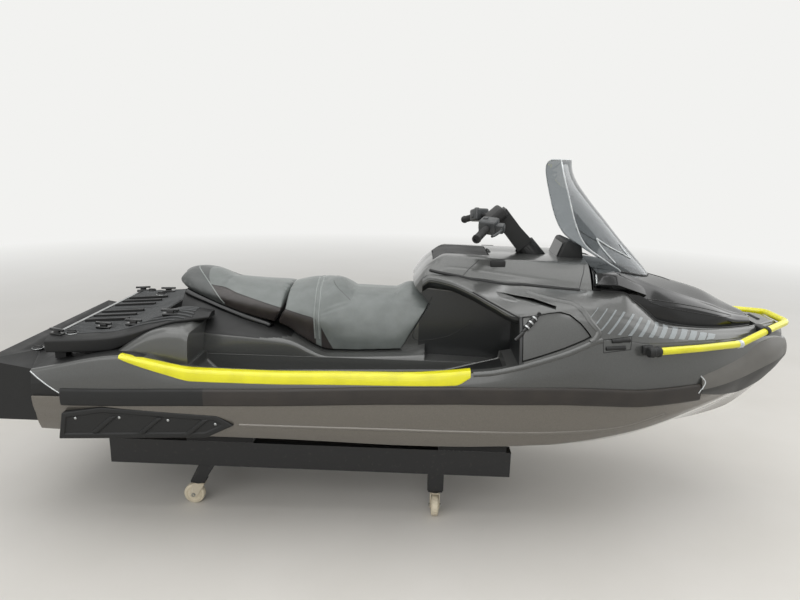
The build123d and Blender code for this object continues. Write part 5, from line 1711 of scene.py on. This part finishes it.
# Painted highlight: the rim and the folds are near-white beads.
rim_line = [screen_point(-1, z) for z in evenly(foot_line[0].z, SCREEN_Z[1], 0.012)]
rim_line += [screen_point(k / RIM_STEPS, SCREEN_Z[1]) for k in range(1 - RIM_STEPS, RIM_STEPS)]
rim_line += [screen_point(1, z) for z in reversed(evenly(foot_line[-1].z, SCREEN_Z[1], 0.012))]
screen_rim_highlight = bead("screen_rim_highlight", rim_line, RIM_RADIUS, mirror=False)
finish(screen_rim_highlight, pale_trim_and_highlight, body="hood")
SCREEN_FOLDS = [
    # turn, height in mm
    [(-0.62, 1345), (-0.66, 1290), (-0.75, 1236)],
    [(-0.62, 1345), (-0.50, 1295), (-0.36, 1246)],
    [(-0.36, 1246), (-0.34, 1276), (-0.30, 1310)],
]
folds = []
for points in SCREEN_FOLDS:
    line = [screen_point(turn, z * MM, FOLD_PROUD) for turn, z in through(points, 16)]
    folds.append(bead("fold", line, RIM_RADIUS))
finish(joined("screen_fold_highlights", folds), pale_trim_and_highlight, body="hood")
print(len(folds), "folds a side, lip of", len(foot_line), "points")

# %% [markdown]
# ## Stern
# Behind the footwells the deck rises into a soft quarter, and the black cargo rack lies over
# it. Low on the side a black sponson is bolted on, a flat moulding with a raised rim and
# slanted ribs. The deck's aft corner is cut away on a slant, with a near-white bead on the cut
# as painted highlight.

# %% Rear quarters
QUARTER = faired(
    [
        # x, top z, half
        (-1330, 800, 524),
        (-1270, 846, 527),
        (-1200, 892, 530),
        (-1120, 930, 532),
        (-1040, 945, 534),
        (-985, 944, 536),
        (-960, 926, 536),
    ]
)
QUARTER_FOOT = 0.770


def quarter_ring(x):
    """The quarter's section: an upright side with a broad soft edge and a flat top."""
    top, half = QUARTER(x)
    return section(
        (0, QUARTER_FOOT, 0, 0),
        (half, QUARTER_FOOT, 0, 4),
        (half - 8 * MM, top, 46, 0),
        (0, top, 0, 0),
        steps=8,
        runs=5,
    )


quarters = loft("rear_quarters_shell", evenly(-1.330, -0.960, 0.012), quarter_ring)
finish(quarters, deck_grey, ["rear_quarters"], crease=35)
print("quarters", len(quarters.data.polygons), "faces")

# %% Sponsons
SPONSON = [(-1498, 580), (-1521, 457), (-870, 488), (-750, 549), (-822, 592), (-1322, 612)]
SPONSON_Y = (0.490, 0.606)
SPONSON_RIM = 14 * MM
SPONSON_RIB_X = (-1330, -1130, -930)
SPONSON_BOLTS = [(-1440, 556), (-1247, 566), (-1035, 562), (-830, 552)]
SPONSON_RIB = [(-0.045, 0.492), (-0.015, 0.492), (0.075, 0.573), (0.045, 0.573)]
RIB_Y = (0.590, 0.608)
BOLT_RADIUS = 6.5 * MM
BOLT_Y = 0.6015
sponson = prism(metres(SPONSON), *SPONSON_Y, 7 * MM)


def sink_face():
    """Insets the outer face and pushes it in, which leaves a raised rim."""
    bpy.ops.mesh.inset(thickness=SPONSON_RIM, depth=0)
    bpy.ops.mesh.inset(thickness=5 * MM, depth=-5 * MM)


edit(sponson, sink_face, lambda face: face.normal.y > 0.99 and face.area > 0.02)
ribs = []
for x in SPONSON_RIB_X:
    ribs.append(prism([(x * MM + along, z) for along, z in SPONSON_RIB], *RIB_Y, 6 * MM))
sponsons = mirrored(joined("sponson_shells", [sponson, *ribs]))
finish(sponsons, black_moulding, ["sponsons"], crease=35)
bolts = []
for x, z in SPONSON_BOLTS:
    bolt = new_piece(
        "bolt", bpy.ops.mesh.primitive_uv_sphere_add, radius=BOLT_RADIUS, segments=20, ring_count=10
    )
    bolt.scale = (1, 0.5, 1)
    put(bolt, (x * MM, BOLT_Y, z * MM))
    bolts.append(bolt)
finish(mirrored(joined("sponson_bolts", bolts)), stainless, crease=50)
print("sponsons", len(sponsons.data.polygons), "faces")

# %% Cargo rack
RACK = faired(
    [
        # x, half, under, edge z, crown half, crown z
        (-1605, 500, 812, 868, 462, 878),
        (-1450, 500, 818, 878, 460, 888),
        (-1320, 498, 832, 890, 450, 900),
        (-1230, 488, 868, 908, 425, 926),
        (-1150, 470, 905, 932, 385, 956),
        (-1040, 425, 938, 958, 345, 982),
        (-925, 345, 945, 958, 305, 970),
    ]
)


def rack_ring(x):
    """The rack's section, flat on top between its sloping edges."""
    half, under, edge_z, crown_half, crown_z = RACK(x)
    return section(
        (0, under, 0, 0),
        (half - 6 * MM, under, 5, 0),
        (half, edge_z, 8, 0),
        (crown_half, crown_z, 10, 0),
        (0, crown_z, 0, 0),
        steps=5,
        runs=5,
    )


SEAT_NOTCH = ((-1.170, -0.900), (-0.262, 0.262), (0.7, 1.3))
LEG_HALF = 0.025
rack = loft("cargo_rack_shell", evenly(-1.605, -0.925, 0.015), rack_ring)
carve(rack, box(*SEAT_NOTCH))
for x, y in ((-1.570, -0.42), (-1.570, 0.42), (-1.330, -0.42), (-1.330, 0.42)):
    leg = box((x - LEG_HALF, x + LEG_HALF), (y - LEG_HALF, y + LEG_HALF), (0.77, 0.87))
    carve(rack, leg, operation="UNION")
finish(rack, black_moulding, ["cargo_rack"], crease=32)
print("rack", len(rack.data.polygons), "faces")

# %% Ribs, cleats and socket rings on the rack
RIBS_Y = range(16, 440, 24)
RIB_START = -1.570
NOTCH_RIB_END, RIB_END = -1.180, -0.990
NOTCH_HALF = 270
RACK_LOWEST = 0.86
rack_ribs = []
for y in RIBS_Y:
    line = []
    for x in evenly(RIB_START, NOTCH_RIB_END if y < NOTCH_HALF else RIB_END, 0.012):
        hit = nearest_hit([rack], Vector((x, y * MM, 1.5)), DOWN)
        if hit and hit[0].z > RACK_LOWEST:
            line.append(hit[0] + Vector((0, 0, 0.5 * MM)))
    rack_ribs.append(bead("rib", line, 4.5 * MM))
# Painted highlight: the ribs are a lighter grey than the rack, as light on their tops.
finish(joined("rack_ribs", rack_ribs), nylon_grey_and_rib_highlight)
# Each cleat is a base, a horn and a post, and stands at x, y, z in mm, turned by degrees.
CLEAT_PARTS = [
    ((-0.034, 0.034), (-0.013, 0.013), (-0.006, 0.005)),
    ((-0.040, 0.040), (-0.006, 0.006), (0.014, 0.024)),
    ((-0.016, 0.016), (-0.007, 0.007), (0.0, 0.018)),
]
CLEATS = [(-1578, 440, 884, 20), (-1400, 372, 900, 8), (-1250, 396, 926, 4), (-1090, 372, 972, -6)]
cleats = []
for *spot, turn in CLEATS:
    cleat = joined("cleat", [box(*part) for part in CLEAT_PARTS])
    rounded(cleat, 3 * MM, 3)
    put(cleat, Vector(spot) * MM, (0, 0, turn))
    cleats.append(cleat)
finish(mirrored(joined("rack_cleats", cleats)), gloss_black, crease=35)
SOCKETS = [(-1519, 425, 885), (-1423, 319, 893), (-1745, 330, 776)]
RING = {"major_radius": 24 * MM, "minor_radius": 2.2 * MM, "major_segments": 48, "minor_segments": 10}
rings = []
for x, y, z in metres(SOCKETS):
    for side in (1, -1):
        ring = new_piece("ring", bpy.ops.mesh.primitive_torus_add, **RING)
        put(ring, (x, side * y, z))
        rings.append(ring)
finish(joined("socket_rings", rings), stainless, crease=60)
print(len(rack_ribs), "ribs and", len(cleats), "cleats a side,", len(rings), "rings")

# %% [markdown]
# ## Bow fittings
# The hood's folds carry thin bright ridges and a long scoop on each side. The bow tube sits
# in round black sockets and is held by a strap clamp. In front of the hood the nose has a
# hand recess.

# %% Hood ridges and scoops
HOOD_RIDGES = {
    "upper_ridge": (2.2, [(925, 1212), (1000, 1196), (1100, 1166), (1180, 1150), (1250, 1128)]),
    "scoop_top": (
        3.0, [(1050, 1092), (1120, 1082), (1220, 1066), (1330, 1044), (1430, 1018), (1490, 1000)]
    ),
    "scoop_low": (
        2.2, [(1060, 1078), (1140, 1056), (1240, 1036), (1340, 1018), (1430, 1002), (1490, 996)]
    ),
}
ridges = [
    bead(name, laid([hood], points, 0.8 * MM), radius * MM)
    for name, (radius, points) in HOOD_RIDGES.items()
]
finish(joined("hood_ridges", ridges), gloss_black, body="hood")
seal_line = [
    Vector((x, CREST(x)[2] - 3 * MM, CREST(x)[3] + 1 * MM)) for x in evenly(0.830, 1.590, 0.02)
]
finish(bead("hood_seal", seal_line, 5 * MM), black_moulding)
print(len(ridges), "ridges a side")

# %% Side vents
VENT_EDGE = [(806, 958), (940, 965), (933, 913), (810, 905), (806, 958)]
VENT_SLOTS = [[(846, 951), (930, 951)], [(820, 922), (908, 922)]]
# The slots are black beads, painted shade in place of openings; thin beads trace the edge.
vents = [bead("slot", laid([deck, shoulders], slot, 3 * MM, 12), 10 * MM) for slot in VENT_SLOTS]
for ends in zip(VENT_EDGE, VENT_EDGE[1:]):
    vents.append(bead("edge", laid([deck, shoulders], ends, 0.6 * MM, 12), 1.8 * MM))
finish(joined("side_vent_slots", vents), black_moulding, ["side_vents"])
print(len(vents), "slots and edges in each side vent")

# %% Sockets and clamps of the bow tube
BOW_TUBE = [(1031, 498, 910), (1257, 412, 906), (1484, 304, 900), (1654, 206, 942), (1796, 97, 956)]
# Profiles of (along the tube, radius) in mm.
SOCKET_PROFILE = [
    (-34, 0), (-34, 17), (-30, 22), (-12, 24), (-8, 21), (8, 21), (12, 24), (22, 24), (26, 20), (26, 0)
]
STRAP_PROFILE = [(-11, 0), (-11, 19), (-9, 20), (9, 20), (11, 19), (11, 0)]
PALE_BAND = [(-12, 0), (-12, 17), (-10, 18.5), (10, 18.5), (12, 17), (12, 0)]


def turned(name, profile, spot, way, count=48):
    """A profile of (along, radius) points in mm, spun round an axis through a place."""
    obj = new_piece(
        name, bpy.ops.mesh.primitive_circle_add, vertices=len(profile), fill_type="NOTHING"
    )
    for vertex, (along, radius) in zip(obj.data.vertices, profile):
        vertex.co = (radius * MM, 0, along * MM)

    def spin():
        bpy.ops.mesh.select_mode(type="VERT")
        bpy.ops.mesh.select_all(action="SELECT")
        bpy.ops.mesh.spin(
            steps=count, angle=2 * math.pi, center=(0, 0, 0), axis=(0, 0, 1), use_auto_merge=True
        )
        bpy.ops.mesh.select_all(action="SELECT")
        bpy.ops.mesh.remove_doubles(threshold=SAME_PLACE)
        bpy.ops.mesh.normals_make_consistent(inside=False)

    edit(obj, spin)
    aim(obj, spot, (0, 0, 1), way)
    smooth(obj, 35)
    return obj


def on_tube(name, profile, run, share):
    """A turned fitting on one straight run of the bow tube, at a share of its length."""
    start, end = (Vector(point) for point in metres(BOW_TUBE[run : run + 2]))
    return turned(name, profile, start.lerp(end, share), (end - start).normalized())


socket = on_tube("bow_socket", SOCKET_PROFILE, 0, 0.0)
base = box((0.985, 1.035), (0.440, 0.490), (0.892, 0.928), "base", 6 * MM)
strap = on_tube("strap", STRAP_PROFILE, 2, 0.93)
foot = box((1.622, 1.662), (0.120, 0.200), (0.925, 0.950), "foot", 6 * MM)
sockets = mirrored(joined("bow_tube_mounts", [socket, base, strap, foot]))
finish(sockets, black_moulding, ["bow_rail_clamps"], crease=35)
pale_band = mirrored(on_tube("pale_clamp_band", PALE_BAND, 1, 0.98))
finish(pale_band, pale_trim_and_highlight)
# Painted shade: a black bead lies where the hand recess is, in place of its hollow.
recess_line = [Vector((1.69, y, 0.946)) for y in (-0.045, 0, 0.045)]
recess = bead("hand_recess_shade", recess_line, 12 * MM, mirror=False)
finish(recess, black_moulding)
print("bow fittings", len(sockets.data.polygons), "faces")

# %% [markdown]
# ## Steering
# Each grip is a ribbed rubber sleeve with a flange. Inboard of it sits a switch housing with
# its buttons, and a curved lever pivots on the housing. A soft pad covers the middle of the
# bar over the column's chamfered cover.

# %% Grips
BAR = [Vector(p) * MM for p in ((396, 0, 1402), (372, 130, 1408), (330, 240, 1392), (262, 392, 1352))]
GRIP_SHARE = 0.16
grip_start = BAR[2].lerp(BAR[3], GRIP_SHARE)
grip_way = (BAR[3] - BAR[2]).normalized()
grip_length = (BAR[3] - grip_start).length / MM
GRIP_RIBS = 15
GRIP_FLANGE = [(0, 0), (0, 23), (5, 23), (6, 17)]
RIBS_FROM, RIBS_SHORT = 12, 26
pitch = (grip_length - RIBS_SHORT) / GRIP_RIBS
grip_profile = list(GRIP_FLANGE)
for k in range(GRIP_RIBS):
    along = RIBS_FROM + (grip_length - RIBS_SHORT) * k / GRIP_RIBS
    grip_profile += [(along, 16), (along + 0.25 * pitch, 17.6), (along + 0.7 * pitch, 17.6)]
for back, radius in ((10, 16.4), (8, 20), (0, 19), (0, 0)):
    grip_profile.append((grip_length - back, radius))
grips = mirrored(turned("grip_sleeves", grip_profile, grip_start, grip_way))
finish(grips, grip_rubber, ["grips"], "steering")
print("grips", len(grips.data.polygons), "faces")

# %% Switch housings and levers
# Blocks of a housing, its two buttons and the lever's perch: size, rounding in mm, segments.
HOUSING = [
    ((-0.040, 0.040), (-0.040, 0.032), (-0.030, 0.034), 11, 4),
    ((-0.026, -0.006), (-0.016, 0.004), (0.030, 0.040), 3, 3),
    ((-0.046, -0.036), (-0.012, 0.012), (-0.014, 0.012), 4, 3),
    ((0.024, 0.072), (-0.020, 0.020), (-0.022, 0.018), 6, 3),
]
blocks = [box(*size, "block", soft * MM, segments) for *size, soft, segments in HOUSING]
cluster = joined("switch_housings", blocks)
aim(cluster, BAR[2].lerp(BAR[3], 0.02), (0, 1, 0), grip_way)
smooth(mirrored(cluster), 35)
LEVER = [(372, 226, 1396), (384, 262, 1388), (372, 310, 1378), (348, 352, 1368), (330, 374, 1364)]
lever = bead("lever", [p * MM for p in through(LEVER, 24)], 6 * MM)
levers = joined("control_clusters", [cluster, lever])
finish(levers, nylon_grey_and_rib_highlight, ["control_levers"], "steering", crease=40)
print("housings and levers", len(levers.data.polygons), "faces")

# %% Pad, riser and display
pad = box((-0.044, 0.044), (-0.105, 0.105), (-0.020, 0.032), "bar_pad", 17 * MM, 5)
put(pad, (0.392, 0, 1.414), (0, -42, 0))
finish(pad, grip_rubber, body="steering", crease=50)
riser = merged_copy("steering_riser", "riser_cover")
rounded(riser, 12 * MM, 3, 25)
finish(riser, black_moulding, ["steering_riser"], "steering", crease=35)
POD = [(0.668, 1.215), (0.706, 1.316), (0.722, 1.322), (0.786, 1.296), (0.800, 1.215)]
pod = prism(POD, -0.112, 0.112, 10 * MM, "display_pod")
finish(pod, black_moulding, ["display"], BODY_OF["display"], crease=40)
glass = box((-0.003, 0.001), (-0.092, 0.092), (-0.040, 0.040), "display_glass", 2 * MM, 2)
put(glass, (0.6865, 0, 1.268), (0, 20.6, 0))
finish(glass, glass_black, body=BODY_OF["display"])
print("riser", len(riser.data.polygons), "faces, display", len(pod.data.polygons))

# %% [markdown]
# ## Straps and trim bars
# A webbing strap with a moulded grip holds each locker cover, and a round trim bar runs down
# under the passenger cushion.

# %% Straps and trim bars
STRAP = [(462, 985), (486, 1010), (512, 1036), (533, 1056)]
STRAP_START = Vector((-0.030, 0.004, -0.030))
RING_AT = (7, 12, 17)
RING_PROFILE = [(-3.5, 0), (-3.5, 15), (3.5, 15), (3.5, 0)]
strap_line = laid([shoulders, cover], STRAP, -6 * MM, 24)
strap_line = [strap_line[0] + STRAP_START, *strap_line]
strap_grip = bead("grip", strap_line[6:20], 13 * MM)
strap_band = bead("band", strap_line, 8 * MM)
rings = []
for k in RING_AT:
    way = (strap_line[k + 1] - strap_line[k]).normalized()
    rings.append(mirrored(turned("ring", RING_PROFILE, strap_line[k], way)))
finish(joined("strap_rings", rings), stainless)
straps = joined("pocket_strap_shells", [strap_grip, strap_band])
finish(straps, gloss_black, ["pocket_straps"])
TRIM = [(-1085, 1029), (-1022, 1007), (-904, 966), (-780, 926), (-680, 898), (-664, 893)]
trim_line = [spot + Vector((0, 13 * MM, 1 * MM)) for spot in laid([pedestal], TRIM, 0, 40)]
trim_bars = bead("seat_trim_bar_shells", trim_line, 16 * MM, sides=6)
finish(trim_bars, gloss_black, ["seat_trim_bars"])
print("straps", len(straps.data.polygons), "faces")

# %% [markdown]
# ## Other hard shells
# The smaller mouldings are right as solids. A copy of a solid's mesh is joined up and
# shaded smooth across shallow angles, so that only the real creases stay, and it then
# stands for the solid.

# %% Dress the shells
SHELLS = {
    "mirror_pods": (gloss_black, 40),
    "bow_rail": (yellow, 40),
    "rack_fins": (black_moulding, 30),
    "rack_edge_strip": (stainless, 30),
    "accessory_sockets": (black_moulding, 30),
    "stern_platform": (black_moulding, 30),
    "glovebox_lid": (black_moulding, 30),
    "footwell_mats": (black_moulding, 30),
    "handlebar": (steel_paint, 40),
    "steering_boss": (black_moulding, 40),
    "pump_housing": (aluminium, 30),
    "nozzle": (aluminium, 40),
    "reverse_bucket": (black_moulding, 40),
    "impeller": (stainless, 40),
    "cradle_beams": (steel_paint, 30),
    "cradle_crossbars": (steel_paint, 30),
    "cradle_bunks": (carpet, 30),
    "castor_heads": (steel_paint, 30),
}
for corner in ("rear_port", "rear_starboard", "front_port", "front_starboard"):
    SHELLS[f"castor_fork_{corner}"] = (cream_enamel, 40)
    SHELLS[f"castor_wheel_{corner}"] = (nylon, 40)

for node, (material, degrees) in SHELLS.items():
    shell = merged_copy(node, f"{node}_shell")
    finish(shell, material, [node], BODY_OF[node], crease=degrees)
print(len(SHELLS), "shells")

# %% Castor rims and axle nuts
# Profiles of (along the axle, radius) in mm: the wheel's lip, its hub and the nut.
WHEEL_LIP = [(-18, 34), (-18, 38), (-15, 40), (-15, 32)]
WHEEL_HUB = [(-18, 8), (-18, 14), (-17, 16), (-14, 16), (-14, 8)]
AXLE_NUT = [(-30, 5), (-30, 8.5), (-28.5, 10), (-23, 10), (-23, 5)]
for joint in record["behaviour"]["joints"]:
    if not joint["name"].startswith("axle_"):
        continue
    spot = Vector(joint["pos_m"])
    ways = [Vector(joint["axis"]), -Vector(joint["axis"])]
    wheel, fork = joint["child"], joint["parent"]
    rims = [turned("rim", shape, spot, way) for shape in (WHEEL_LIP, WHEEL_HUB) for way in ways]
    rims = joined(f"{wheel}_rims", rims)
    finish(rims, nylon, body=wheel)
    nuts = [turned("nut", AXLE_NUT, spot, way, count=6) for way in ways]
    nuts = joined(f"{fork}_nuts", nuts)
    finish(nuts, zinc, body=fork, crease=25)
    print(wheel, len(rims.data.polygons) + len(nuts.data.polygons), "faces of rims and nuts")

# %% Solids that stay
OTHER = {
    "glovebox_tub": black_moulding,
    "glovebox_hinge": steel_paint,
    "hood_hinge": stainless,
    "storage_bin": black_moulding,
    "engine_block": aluminium,
    "ride_plate": black_moulding,
    "intake_grate": aluminium,
    "mirror_glasses": mirror_silver,
}
for node, material in OTHER.items():
    frame["nodes"][node].material_slots[0].material = material
print(len(OTHER), "solids kept")

# %% [markdown]
# ## Floor and light
# A plain pale floor and soft light from above show the shapes. Long lamps, like the tubes
# of a workshop ceiling, draw the bright lines along the creases. The white background shows
# to the camera, in reflections and through the screen. The lamps and a dimmer room light
# the object.

# %% Floor
BACKDROP = linear("#f2f2f0")
FLOOR_SIZE = 60.0
FADE_FROM, FADE_TO = 3.2, 10.0


def seen_directly(tree):
    """1 for what the camera sees, also in a reflection or through a clear sheet, else 0."""
    rays = add(tree, "LightPath", {}).node.outputs
    seen = rays["Is Camera Ray"]
    for kind in ("Is Transmission Ray", "Is Glossy Ray"):
        seen = add(tree, "Math", {"operation": "MAXIMUM", 0: seen, 1: rays[kind]})
    return seen


floor = new_piece("floor", bpy.ops.mesh.primitive_plane_add, size=FLOOR_SIZE)
# Painted screed: matt, with cloudy patches nearly a metre wide.
floor_finish, tree, shader = new_material("pale floor paint", "#d6d3cd", 0.55)
patches = shaded(tree, grain(tree, 0.9, 4.0), 0.3, 0.7, "#d2cfc9", "#dad7d2")
tree.links.new(patches, shader.inputs["Base Color"])
spot = add(tree, "TexCoord", {}, "Object")
away = add(tree, "VectorMath", {"operation": "LENGTH", 0: spot}, "Value")
fade = add(tree, "MapRange", {"Value": away, "From Min": FADE_FROM, "From Max": FADE_TO})
fade = add(tree, "Math", {"operation": "MULTIPLY", 0: fade, 1: seen_directly(tree)})
glow = add(tree, "Emission", {"Color": BACKDROP, "Strength": 1.0})
blend = add(tree, "MixShader", {0: fade, 1: shader.outputs[0], 2: glow})
tree.links.new(blend, tree.nodes["Material Output"].inputs["Surface"])
floor.data.materials.append(floor_finish)
print("floor", FLOOR_SIZE, "m wide")

# %% Lamps and world
def lamp(name, place_at, look_at, size, power):
    """A rectangular lamp that faces a point."""
    bpy.ops.object.light_add(type="AREA", location=place_at)
    obj = bpy.context.object
    obj.name = name
    obj.data.shape = "RECTANGLE"
    obj.data.size, obj.data.size_y = size
    obj.data.energy = power
    way = Vector(look_at) - Vector(place_at)
    obj.rotation_euler = way.to_track_quat("-Z", "Y").to_euler()


lamp("tube_near", (0.3, -2.0, 3.4), (0.2, -0.1, 0.8), (6.0, 0.2), 12)
lamp("tube_far", (0.0, 1.4, 3.4), (0.0, 0.1, 0.8), (6.0, 0.2), 14)
lamp("soft_front", (-2.0, -5.2, 4.2), (0.0, 0.0, 0.7), (9.0, 6.0), 210)
lamp("soft_top", (0.0, -0.4, 4.8), (0.0, 0.0, 0.8), (7.0, 3.5), 120)
lamp("soft_bow", (5.6, 1.5, 3.2), (0.6, 0.0, 0.8), (5.0, 4.0), 90)

ROOM_STRENGTH = 0.42
world = bpy.data.worlds.new("studio")
scene.world = world
world.use_nodes = True
back = world.node_tree.nodes["Background"]
back.inputs["Color"].default_value = BACKDROP
seen = seen_directly(world.node_tree)
vary(world.node_tree, back.inputs["Strength"], seen, 0, 1, ROOM_STRENGTH, 1.0)
